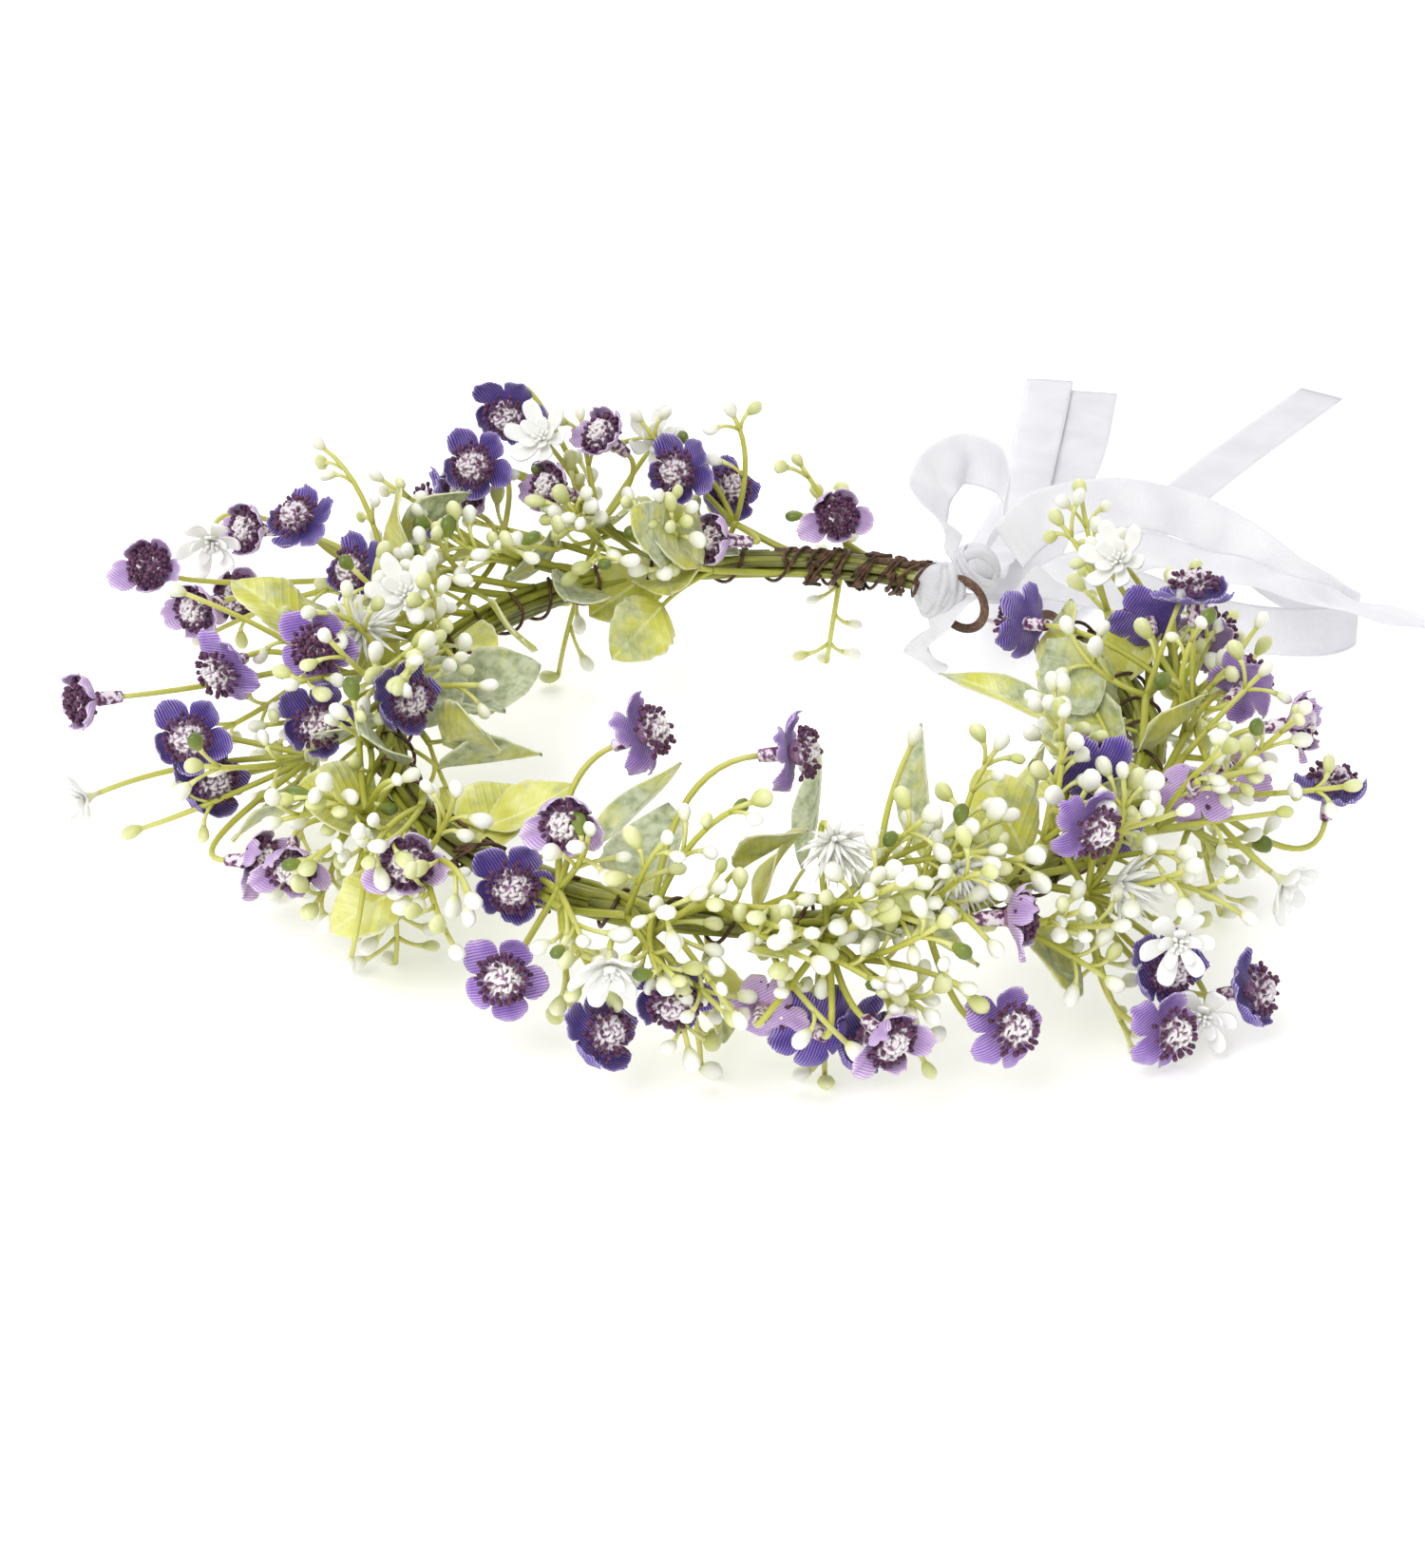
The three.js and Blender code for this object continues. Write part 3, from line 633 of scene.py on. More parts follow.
# %% Spray table
BIND_FROM = {"left": 109.5, "right": 273.0}
BIND_PITCH, LEAVE_LEAD, STEM_RUN, SLOT_RADIUS = 12.0, 1.4, 16.0, 3.2
REST = 2.28 - HOOP_HEIGHT  # how high a bud is whose side lies on the table
SPRAYS = [
    ("left", 0, 20, (121, 9, 3), [("lilac", (122, 1, 15), 315, 25)],
     [(126, 18, 12), (128, 8, 26), (124, 20, -10), (124, 12, REST)]),
    ("left", 1, 70, (138, 9, 8), [("violet", (146, 9, 25), 280, 20)],
     [(138, 14, 38), (150, 24, 34), (148, 30, 6), (150, 20, -12)]),
    ("left", 3, 20, (158, 14, 10),
     [("lilac", (165, 12, 24), 260, 30), ("violet", (166, 35, 40), 305, -10),
      ("violet", (173, 27, 30), 290, 25)],
     [(158, 26, 36), (160, 34, 16), (164, 18, REST)]),
    ("left", 4, 70, (175, 14, 9), [], [(184, 38, 30), (184, 46, 4), (188, 32, -16), (186, 18, 24)]),
    ("left", 5, 20, (190, 26, 10),
     [("violet", (196, 43, 27), 260, 55), ("lilac", (207, 72, 22), 300, 35),
      ("white", (194, 77, 12), 315, -10)],
     [(187, 52, 38), (202, 66, -4), (198, 44, -14), (194, 30, REST)]),
    ("left", 7, 70, (213, 22, 8),
     [("purple", (219, 43, 12), 280, 0), ("purple", (225, 18, 25), 315, 25),
      ("lilac", (223, 75, 8), 255, 10)],
     [(214, 56, 26), (216, 60, -16), (212, 40, REST)]),
    ("left", 8, 20, (225, 20, -6),
     [("violet", (228, 50, 4), 305, 25), ("lilac", (240, 39, -16), 15, 15)],
     [(229, 64, -20), (237, 48, 8), (232, 30, REST)]),
    ("left", 10, 70, (249, 14, 2), [("lilac", (265, 20, 6), 315, 25)],
     [(256, 30, -14), (258, 14, 20), (252, 28, 14), (254, 12, REST)]),
    ("right", 0, 20, (285, 10, 8),
     [("purple", (282, 25, -10), 315, 30), ("purple", (289, -19, 36), 30, 30)],
     [(290, 12, 26), (292, 26, 8), (288, 14, -26)]),
    ("right", 1, 70, (298, 12, 2),
     [("violet", (294, 27, -17), 0, 30), ("purple", (316, -21, 34), 35, 10),
      ("white", (296, 30, 4), 315, -25)],
     [(304, 26, -18), (306, 16, 18), (304, 8, REST)]),
    ("right", 3, 20, (320, 12, 4), [("lilac", (324, 36, -8), 345, 0)],
     [(326, 18, 22), (330, 26, -24), (322, 26, 16), (320, 10, REST)]),
    ("right", 4, 70, (333, 8, 4),
     [("lilac", (340, 22, 8), 40, 5), ("purple", (338, 32, -15), 350, 25)],
     [(342, 8, 26), (336, 26, 24), (340, -12, 10)]),
    ("right", 6, 20, (356, 14, 0),
     [("purple", (352, 20, 24), 355, 0), ("violet", (366, 46, -24), 20, 20)],
     [(360, 36, 12), (364, 46, 0), (362, 14, 26), (358, 26, REST)]),
    ("right", 8, 70, (382, 16, 4),
     [("violet", (393, 46, -4), 95, 80), ("lilac", (394, 34, 13), 30, 15),
      ("white", (381, 40, -14), 0, -15)],
     [(386, 50, 8), (386, 38, 26), (388, 22, REST)]),
    ("right", 10, 20, (405, 12, 6), [("violet", (417, 5, 19), 135, 5)],
     [(408, 28, 24), (414, 30, 6), (416, 22, -12), (414, 12, REST)]),
]
MORE_FLOWERS = [
    ("violet", (139, 21, 12), 350, 40), ("lilac", (140, -5, 10), 245, 15),
    ("lilac", (156, 15, 34), 255, 45), ("lilac", (171, 36, 20), 275, 0),
    ("violet", (175, 40, 14), 230, 10), ("lilac", (191, 68, 14), 265, 20),
    ("lilac", (196, 66, 0), 330, 35), ("violet", (197, 24, 18), 265, 30),
    ("lilac", (205, 61, 10), 280, 10), ("violet", (226, 47, -12), 350, 30),
    ("violet", (230, 19, 10), 330, 10), ("violet", (236, -2, 20), 355, 10),
    ("lilac", (247, 32, -8), 315, -10), ("violet", (278, 10, 6), 315, 10),
    ("lilac", (285, 4, 24), 300, 10), ("violet", (302, 22, -6), 315, -10),
    ("lilac", (312, 22, -10), 125, -15), ("violet", (318, 20, -16), 150, -20),
    ("violet", (324, 14, -22), 355, 5), ("purple", (356, 40, -26), 355, 15),
    ("violet", (360, 32, -16), 335, 15), ("violet", (363, 8, 6), 125, 20),
    ("violet", (364, 3, 22), 135, 5), ("lilac", (376, 18, 12), 135, -40),
    ("lilac", (394, 21, 0), 100, -25), ("purple", (404, 24, 12), 95, 15),
    ("violet", (411, 13, 30), 135, 75), ("purple", (419, 23, 10), 90, 20),
    ("violet", (434, -17, 10), 180, -15),
    ("white", (148, 26, 26), 340, 45), ("white", (165, 20, 36), 285, 45),
    ("white", (199, 22, 6), 325, -15), ("white", (210, 0, 27), 300, 45),
    ("spiky", (216, 9, 22), 320, 25), ("white", (227, 78, -14), 260, -5),
    ("spiky", (321, 6, 26), 330, -10), ("spiky", (338, 7, 14), 335, -20),
    ("spiky", (358, 20, 4), 10, -5), ("white", (359, 37, -6), 315, 10),
    ("white", (362, 41, -28), 300, 5), ("white", (425, 2, 30), 280, 40),
]
print(len(SPRAYS), "sprays,", sum(len(s[4]) for s in SPRAYS) + len(MORE_FLOWERS), "flowers")

# %% [markdown]
# ## Twigs and buds
#
# A twig is a Bezier curve that leaves its fork and arrives along the direction given. Buds are
# an egg shape, narrower where the stalk joins it. Stalks leave the twig at three places, turned
# round it in steps, as they do on a real spray of baby's breath. A seeded random generator
# varies them, so each run gives the same crown.

# %% Twig and bud shapes
TUBE_LENGTH = {"lilac": 7.0, "purple": 7.0, "violet": 7.0, "white": 4.0, "spiky": 4.0}
PITH = 0.3  # how far inside a stem a side stalk starts
EGG = np.linspace(0, np.pi, 8)
BUD_RADII = 2.05 * np.sin(EGG) ** 1.15 * (1 - 0.3 * np.cos(EGG))
BUD_HEIGHTS = 2.75 * (1 - np.cos(EGG)) - 0.5
BUD_FLATNESS = 0.72
FLOOR_CLEARANCE = 2.6
STALK_SHARE = 0.56
DARK_GREEN, GREEN, PALE_GREEN = 0.06, 0.14, 0.4  # shares of the buds, each with the ones before


def blossom_twigs(random, starts, ends, spread=1.0):
    """Twigs from each start to each end with side stalks; returns tube blocks and bud data."""
    starts, ends = np.atleast_2d(starts).astype(float), np.atleast_2d(ends).astype(float)
    reach = np.linalg.norm(ends - starts, axis=1, keepdims=True)
    sag = random.normal(0, 0.1, starts.shape) * reach
    middles = (starts + ends) / 2 + sag
    paths = bends(starts, middles, ends, 9)
    heading = unit(paths[:, -1] - paths[:, -2])
    blocks = [tubes(paths, np.linspace(0.82, 0.66, 9), 7, tone=np.linspace(0.35, 0.8, 9))]
    tips, directions = [ends], [heading]
    for number, share in enumerate((0.34, 0.58, 0.8)):
        t = share + random.uniform(-0.06, 0.06, (len(starts), 1))
        base = (1 - t) ** 2 * starts + 2 * t * (1 - t) * middles + t ** 2 * ends
        along = unit((1 - t) * (middles - starts) + t * (ends - middles))
        axes = frames_of(along)
        turn = 2.4 * number + random.uniform(0, 6.28, (len(starts), 1))
        for half in (0, np.pi):
            lean = np.radians(random.uniform(35, 62, (len(starts), 1)))
            away = axes[:, 0] * np.cos(turn + half) + axes[:, 1] * np.sin(turn + half)
            tip = base + random.uniform(4.5, 9.5, (len(starts), 1)) * spread * (
                along * np.cos(lean) + away * np.sin(lean))
            tip[:, 2] = np.maximum(tip[:, 2], FLOOR_CLEARANCE)
            bow = (base + tip) / 2 + along * 1.2
            kept = random.uniform(0, 1, len(starts)) < STALK_SHARE
            stalks = bends(base + away * 0.2, bow, tip, 5)[kept]
            if len(stalks):
                blocks.append(tubes(stalks, np.array([0.62, 0.52, 0.5, 0.56, 0.8]), 6,
                                    tone=np.linspace(0.6, 1.0, 5)))
                tips.append(tip[kept])
                directions.append(unit(tip - bow)[kept])
    return blocks, np.concatenate(tips), np.concatenate(directions)


def buds(random, tips, directions):
    """Flattened egg-shaped buds on the tips; tint 0 is white, and 1 is dark green."""
    steepest = np.minimum((2.4 - tips[:, 2]) / 5.5, 0.95)
    directions = unit(np.column_stack([directions[:, :2], np.maximum(directions[:, 2], steepest)]))
    size = random.uniform(0.82, 1.2, len(tips))
    pick = random.uniform(0, 1, len(tips))
    tint = np.select(
        [pick < DARK_GREEN, pick < GREEN, pick < PALE_GREEN], [1.0, 0.6, 0.4], 0.0)
    tint = tint + random.uniform(0, 0.1, len(tips)) * (tint < 0.9)
    tone = np.linspace(0, 1, len(EGG))[:, None]
    return turned(BUD_RADII, BUD_HEIGHTS, directions, tips, 8, size, BUD_FLATNESS, tone=tone,
                  tint=tint[:, None, None])


def stem_in_bundle(leave, slot, fork, first):
    """A main stem: a run beside the hoop wire, then out to the fork."""
    root = max(leave - STEM_RUN, first + 0.5)
    run = in_slot(root + (leave - root) * np.array([0, 0.34, 0.67, 1]), slot, SLOT_RADIUS)
    return smooth_path(np.concatenate([run, place(fork)[None]]), 40)


def flower_twig(fork, colour, at, heading, climb):
    """The twig that carries a flower: it comes up along the way the flower looks."""
    look = facing(heading, climb)
    tip = place(at) - look * (TUBE_LENGTH[colour] + 0.2)
    start = place(fork)
    middle = tip - look * 0.45 * np.linalg.norm(tip - start)
    return bends(start + unit(tip - start) * PITH, middle, tip, 14)


def main_stem(arm, turn, slot, fork):
    """The stem of the spray or leaf sprig that leaves the bundle by that turn of the binding."""
    leave = BIND_FROM[arm] + BIND_PITCH * (turn + 0.5 + slot / 360) - LEAVE_LEAD
    return stem_in_bundle(leave, slot, fork, BIND_FROM[arm])


spray_forks = place(np.array([s[3] for s in SPRAYS]))


def nearest_spray(at):
    """The spray whose fork is closest to a place."""
    return int(np.linalg.norm(spray_forks - place(at), axis=1).argmin())


carried = [[] for _ in SPRAYS]
for flower in MORE_FLOWERS:
    carried[nearest_spray(flower[1])].append(flower)
print("extra flowers on each spray:", [len(c) for c in carried])

# %% Build the sprays
bud_count = 0
for number, (arm, turn, slot, fork, flowers, bud_places) in enumerate(SPRAYS, 1):
    random = np.random.default_rng(100 + number)
    stem = main_stem(arm, turn, slot, fork)
    swelling = turned(1.3 * np.sin(EGG), -1.3 * np.cos(EGG), [[0, 0, 1]], place(fork), 8, tone=0.4)
    # the main stem starts at tone 0, painted dark olive as shade where it runs inside the bundle
    blocks = [tubes(stem, np.linspace(1.15, 1.0, 40), 10, tone=np.linspace(0.0, 0.4, 40)), swelling]
    for colour, at, heading, climb in flowers + carried[number - 1]:
        twig = flower_twig(fork, colour, at, heading, climb)
        blocks.append(tubes(twig, np.linspace(0.85, 0.72, 14), 8, tone=np.linspace(0.4, 0.75, 14)))
    ends = place(np.array(bud_places))
    middle = place(fork)
    twigs, tips, looks = blossom_twigs(random, middle + unit(ends - middle) * PITH, ends)
    piece = make_piece(f"spray_{number}_stems", blocks + twigs, [STEM], f"{arm}_arm")
    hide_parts(f"spray_{number}")
    make_piece(f"spray_{number}_buds", [buds(random, tips, looks)], [BUD], f"{arm}_arm")
    bud_count += len(tips)
print(bud_count, "buds on the sprays")

# %% [markdown]
# ## Filling sprigs
#
# Between the sprays the bundle is filled with shorter sprigs of the same moulding, which hide
# the wire and give the crown its cloud of white buds. Each leaves the bundle outward or upward
# and leans the way that all the stems run.

# %% Filling sprigs
AHEAD = 11  # how many degrees round the hoop a sprig runs before its fork
for arm, first, last, count, seed in (("left", 136, 266, 18, 7), ("right", 276, 439, 26, 8)):
    random = np.random.default_rng(seed)
    stem_blocks, all_tips, all_looks = [], [], []
    for angle in np.linspace(first, last - 14, count) + random.uniform(-2, 2, count):
        slot = random.uniform(-50, 150)
        lift = np.radians(random.uniform(-35, 110))
        reach = random.uniform(9, 16)
        fork = (angle + AHEAD, reach * np.cos(lift), reach * np.sin(lift))
        run = in_slot(np.linspace(max(angle - 18, BIND_FROM[arm] - 1), angle, 4), slot,
                      random.uniform(2.6, 4.6))
        stem = smooth_path(np.concatenate([run, place(fork)[None]]), 26)
        # the low tone at the bundle end paints the sprig stem darker, as painted shade inside the
        # bundle
        stem_blocks.append(tubes(stem, 1.0, 8, tone=np.linspace(0.05, 0.45, 26)))
        twig_count = random.integers(2, 5)
        reaches = reach + random.uniform(9, 24, twig_count)
        lifts = lift + random.uniform(-0.9, 0.9, twig_count)
        ends = place(np.stack([angle + AHEAD + random.uniform(3, 14, twig_count),
                               reaches * np.cos(lifts), reaches * np.sin(lifts)], -1))
        ends[:, 2] = np.maximum(ends[:, 2], FLOOR_CLEARANCE + 1)
        start = place(fork)
        twigs, tips, looks = blossom_twigs(random, start + unit(ends - start) * 0.2, ends, 0.9)
        stem_blocks += twigs
        all_tips.append(tips)
        all_looks.append(looks)
    tips, looks = np.concatenate(all_tips), np.concatenate(all_looks)
    make_piece(f"filling_sprigs_{arm}_stems", stem_blocks, [STEM], f"{arm}_arm")
    make_piece(f"filling_sprigs_{arm}_buds", [buds(random, tips, looks)], [BUD],
               f"{arm}_arm")
    bud_count += len(tips)
print(bud_count, "buds in all")

# %% [markdown]
# ## Running stems
#
# Long bare stems lie against the hoop wire all the way round and give the bundle its body. They
# are cut off short of the left eye, where their pale ends show. Over the bend they belong to
# neither arm, so that stretch is a piece of its own like the wire.

# %% Running stems
RUNNING_STEMS, RUNNING_RADIUS = 7, 1.05


def running_stems(start, end, seed, cut_ends):
    """Stems beside the hoop wire, each in its own slot, which wanders slowly. Cut ends are pale
    and stand a little apart: tint = 0.85 exp(-row / 1.2)."""
    random = np.random.default_rng(seed)
    rows = int(abs(end - start) * 1.2) + 8
    pale = 0.85 * np.exp(-np.arange(rows) / 1.2) * cut_ends
    blocks = []
    for number in range(RUNNING_STEMS):
        stagger = random.uniform(-2.5, 2.5) if cut_ends else 0.0
        angle = np.linspace(start + stagger, end, rows)
        slot = 360 * number / RUNNING_STEMS + 12 * np.sin(np.radians(angle * 4) + number)
        distance = 2.5 + 0.45 * np.sin(np.radians(angle * 7) + 2 * number)
        # a low tone paints these stems dark olive, as painted shade for the inside of the bundle;
        # the sine varies it slowly along each stem
        tone = np.clip(0.08 + 0.22 * np.sin(angle / 9 + number), 0.0, 0.3)
        blocks.append(
            tubes(in_slot(angle, slot, distance), RUNNING_RADIUS, 8, tone=tone, tint=pale))
    return blocks


for arm, start, end, seed in (("left", 105.5, BEND_START, 61), ("right", 435.0, BEND_END, 63)):
    make_piece(f"running_stems_{arm}_arm", running_stems(start, end, seed, True), [STEM],
               f"{arm}_arm")
piece_over_bend("running_stems_bend", running_stems(BEND_END, BEND_START, 70, False), STEM)
# the hoop wire was bent back on itself to make the left eye, and its tail lies along the bundle
tails = []
for first, last, slot, distance in (
        (101.5, 132.0, 62, 3.6), (102.5, 121.0, 10, 3.9), (103.0, 116.0, 108, 3.7)):
    angle = np.linspace(first, last, 60)
    spread = distance - 2.2 * np.exp(-(angle - first) / 1.8)
    path = in_slot(angle, slot + 16 * np.sin(np.radians(angle * 9)), spread)
    tails.append(tubes(path, 0.95 * STRAND_RADIUS, 12, outward_at(path), ridges=STRAND_RIDGE / 2))
make_piece("hoop_wire_tail_left_arm", tails, [HOOP_WIRE], "left_arm")
print("running stems laid round the wire")

# %% [markdown]
# ## Binding wire
#
# The wire that holds the stems is wound by hand, so its turns lean and wander, and it cuts into
# the bundle. Near the left eye, where the winding was finished off, it crosses itself in a tangle.

# %% Binding wire
BINDING_RADIUS, BUNDLE_RADIUS, HAND_PITCH = 0.5, 4.5, 8.4
BIND_BEND, BIND_END = (259.5, 281.0), 434.0


def winding(start, end, pitch, distance, seed):
    """A helix round the hoop wire, one turn every pitch degrees, with seeded slow waves in it."""
    random = np.random.default_rng(seed)
    count = int(abs(end - start) / pitch * 30) + 12
    t = np.linspace(0, 1, count)
    waves = sum(random.normal(0, 1) * np.sin(2 * np.pi * (k * t + random.uniform()))
                for k in (5, 11, 17))
    angle = start + (end - start) * t + 0.13 * pitch * waves
    turns = 360 * (end - start) * t / pitch + 22 * waves
    return tubes(in_slot(angle, turns, distance + 0.25 * np.abs(waves)), BINDING_RADIUS, 7)


# for each arm, where a length of wire starts and ends, its pitch, and its distance from the middle
for arm, stretches in {
    "left": [(BIND_FROM["left"], BIND_BEND[0], HAND_PITCH, BUNDLE_RADIUS),
             (105.0, 130.0, 4.6, 4.6), (128.0, 104.5, 7.3, 4.9)],
    "right": [(BIND_BEND[1], BIND_END, HAND_PITCH, BUNDLE_RADIUS), (434.0, 426.0, 3.1, 4.2)],
}.items():
    blocks = [winding(*stretch, seed) for seed, stretch in enumerate(stretches, 40)]
    piece = make_piece(f"binding_wire_{arm}_arm", blocks, [BINDING_WIRE], f"{arm}_arm")
    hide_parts(f"binding_wire_{arm}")
piece_over_bend("binding_wire_bend", [winding(*BIND_BEND[::-1], HAND_PITCH, BUNDLE_RADIUS, 50)],
                BINDING_WIRE)
print("binding wire pieces made")

# %% [markdown]
# ## Fabric flowers
#
# A flower is one disc of cloth with five round lobes, heat-pressed so that each petal curls its
# own way. It starts flat in polar coordinates. Inside the notches the disc is a shallow cone.
# Beyond them each petal follows an arc of its own curvature, which keeps its cloth length, and
# its sides cup toward its middle line. Behind it is a flocked tube, and in front a puff of pale
# threads ringed by knobbed ones.

# %% Petals
PETAL_RADIUS, NOTCH = 11.4, 0.46


def cloth_petals(random, cup, curl_mean):
    """Polar grid of a five-lobed disc, bent petal by petal. Returns points, flat UV and tone."""
    turn = np.linspace(0, 2 * np.pi, 141)
    petal = np.round(turn / (2 * np.pi / 5)).astype(int) % 5
    middle = petal * 2 * np.pi / 5
    lobe = np.abs(np.cos(2.5 * turn)) ** 0.45 * (1 + 0.05 * np.cos(10 * turn))
    fray = random.normal(0, 0.012, len(turn))
    fray[-1] = fray[0]
    size = random.uniform(0.86, 1.08, 5)[petal]
    outline = PETAL_RADIUS * (NOTCH + (size - NOTCH) * lobe) * (1 + fray * lobe)
    rho = np.linspace(0, 1, 11)[:, None] ** 0.85
    reach = rho * outline
    hinge = NOTCH * PETAL_RADIUS
    beyond = np.maximum(reach - hinge, 0)
    curl = (curl_mean + random.normal(0, 0.14, 5))[petal]
    curl = np.where(np.abs(curl) < 0.01, 0.01, curl)
    level = np.minimum(reach, hinge) * np.cos(cup) + (
        np.sin(cup + curl * beyond) - np.sin(cup)) / curl
    height = np.minimum(reach, hinge) * np.sin(cup) + (
        np.cos(cup) - np.cos(cup + curl * beyond)) / curl
    offset = ((turn - middle + np.pi) % (2 * np.pi)) - np.pi
    sideways = reach * np.sin(offset)
    weight = beyond / (PETAL_RADIUS - hinge)
    height = height + random.uniform(-0.02, 0.09, 5)[petal] * weight * sideways ** 2
    height = height + 0.5 * weight * np.sin(1.6 * sideways + random.uniform(0, 6.28, 5)[petal])
    points = np.stack([level * np.cos(turn), level * np.sin(turn), height], -1)
    flat = np.stack([reach * np.cos(turn), reach * np.sin(turn)], -1)
    return points, flat, np.broadcast_to(rho, reach.shape)


def flower_axes(heading, climb, roll):
    """Rows are the flower's own x, y and z, where z is the way it looks."""
    look = facing(heading, climb)
    side = unit(np.cross([0, 0, 1], look))
    up = np.cross(look, side)
    first = side * np.cos(roll) + up * np.sin(roll)
    return np.stack([first, np.cross(look, first), look])


# %% Stamens
KNOB_RADII = np.array([0, 0.45, 0.6, 0.5, 0])
KNOB_HEIGHTS = np.array([-0.4, -0.25, 0.35, 0.85, 1.1])


def fan(count, low, high, random):
    """Ways spread evenly by the golden angle between two tilts from straight ahead."""
    k = np.arange(count) + 0.5
    near, far = np.cos(np.radians(low)), np.cos(np.radians(high))
    tilt = np.arccos(near + (far - near) * k / count) + random.normal(0, 0.08, count)
    turn = np.pi * (3 - 5 ** 0.5) * k + random.uniform(0, 6.28)
    return np.stack([np.sin(tilt) * np.cos(turn), np.sin(tilt) * np.sin(turn), np.cos(tilt)], -1)


def stamens(random, dark):
    """A dome of short curled pale threads, and knobbed threads that stand out round it."""
    middle = np.array([0, 0, 3.0])
    dome = np.array([3.4, 3.4, 3.0])
    angle = np.linspace(0, np.pi, 8)
    blocks = [turned(3.3 * np.sin(angle), 3.0 - 3.2 * np.cos(angle),
                     [[0, 0, 1]], [[0, 0, 0]], 12, tone=0.5)]
    pale = fan(12 if dark else 46, 0, 80, random)
    lying = unit(np.cross(pale, random.normal(0, 1, pale.shape)))
    root = middle + pale * dome * 0.9
    crown = root + pale * random.uniform(0.8, 1.5, (len(pale), 1))
    curled = crown + lying * random.uniform(1.3, 2.4, (len(pale), 1)) - pale * 0.3
    blocks.append(tubes(
        bends(root, crown + pale * 0.5, curled, 5), 0.46, 5, tone=random.uniform(0, 0.25)))
    rings = ([(30, 60, 90, 5.6), (60, 0, 62, 5.1)] if dark
             else [(36, 56, 90, 5.7), (10, 36, 58, 5.2)])
    for count, low, high, reach in rings:
        way = fan(count, low, high, random)
        length = reach * random.uniform(0.88, 1.08, (count, 1))
        root, end = middle + way * dome * 0.85, middle + way * length * [1, 1, 0.85]
        bow = (root + end) / 2 + random.normal(0, 0.3, (count, 3))
        blocks.append(tubes(bends(root, bow, end, 4), 0.3, 4, tone=np.linspace(0.12, 0.7, 4)))
        size = random.uniform(0.85, 1.2, count)
        blocks.append(turned(KNOB_RADII, KNOB_HEIGHTS, end - bow, end, 5, size,
                             tone=random.uniform(0.72, 1.0, count)[:, None, None]))
    return blocks


def stamen_tube():
    """The flocked tube behind the petals: a narrow cone closed at both ends."""
    radii = np.array([0, 1.5, 1.65, 1.75, 1.85, 2.0, 1.2, 0])
    heights = np.array([-7, -7, -5.5, -3.6, -1.8, -0.5, 0.5, 0.8])
    return turned(radii, heights, [[0, 0, 1]], [[0, 0, 0]], 12, material=1)


def moved(blocks, axes, centre):
    """Blocks made round the origin, turned onto the flower's axes and put in its place."""
    for block in blocks:
        block["points"] = block["points"] @ axes + centre
    return blocks


print("one flower head has",
      sum(b["points"].size // 3 for b in stamens(np.random.default_rng(1), False)), "points")

# %% [markdown]
# ## White flowers
#
# Some tips carry a moulded white flower instead: two rounds of soft lobes, or a fan of fine
# pointed rays. They are the same plastic as the buds, so they get thick rounded edges.

# %% White flower shapes
def lobed_layer(random, radius, lobes, notch, cup, curl):
    """A moulded round of lobes: the same bent polar disc with more lobes and deeper notches."""
    turn = np.linspace(0, 2 * np.pi, 24 * lobes + 1)
    size = random.uniform(0.85, 1.1, lobes)[
        np.round(turn / (2 * np.pi / lobes)).astype(int) % lobes]
    wave = np.abs(np.sin(lobes * turn / 2))
    lobe = np.sqrt(np.clip(1 - (wave / 0.94) ** 4, 0, 1))
    reach = np.linspace(0, 1, 8)[:, None] * radius * (notch + (size - notch) * lobe)
    level = (np.sin(cup + curl * reach) - np.sin(cup)) / curl
    height = (np.cos(cup) - np.cos(cup + curl * reach)) / curl
    height = height + 0.05 * (reach / radius) ** 2 * radius * np.cos(lobes * turn)
    points = np.stack([level * np.cos(turn), level * np.sin(turn), height], -1)
    return patch(points, tone=np.linspace(0.05, 1, 8)[:, None])


def white_centre(random, count=9):
    """Short blunt threads in the middle of a white flower."""
    k = np.arange(count) + 0.5
    turn, tilt = 2.4 * k, np.radians(40 * np.sqrt(k / count))
    way = np.stack([np.sin(tilt) * np.cos(turn), np.sin(tilt) * np.sin(turn), np.cos(tilt)], -1)
    end = way * random.uniform(3.2, 4.4, count)[:, None]
    return tubes(
        bends(0.1 * way, end * 0.5 + [0, 0, 0.4], end, 4), [0.4, 0.36, 0.4, 0.5], 6, tone=0.6)


def spiky_rays(random):
    """Pointed rays in three rounds, each a tapering tube bent a little forward."""
    blocks = []
    for count, low, high, length in ((17, 50, 74, 12.0), (15, 28, 50, 12.5), (9, 5, 28, 11.5)):
        turn = 2 * np.pi * (np.arange(count) + random.uniform(-0.25, 0.25, count)) / count
        tilt = np.radians(random.uniform(low, high, count))
        way = np.stack([np.sin(tilt) * np.cos(turn), np.sin(tilt) * np.sin(turn), np.cos(tilt)], -1)
        end = way * (length * random.uniform(0.85, 1.08, count))[:, None]
        middle = way * length * 0.5 - [0, 0, 1] * np.sin(tilt)[:, None] * 0.8
        blocks.append(tubes(bends(way * 0.4, middle, end, 7),
                            np.array([0.55, 0.78, 0.8, 0.66, 0.5, 0.3, 0.05]),
                            6, tone=np.linspace(0.1, 1, 7)))
    return blocks


def stub():
    """The short moulded stub behind a white flower."""
    return turned([0, 0.7, 0.8, 1.5, 2.2, 0], [-4, -4, -2.4, -0.8, 0.3, 0.6],
                  [[0, 0, 1]], [[0, 0, 0]],
                  10, tone=0.1)


# %% Build the flowers
DARK_HEADS = ("lilac_flower_1a", "purple_flower_6b", "lilac_flower_6c", "lilac_flower_5b",
              "lilac_flower_12a")


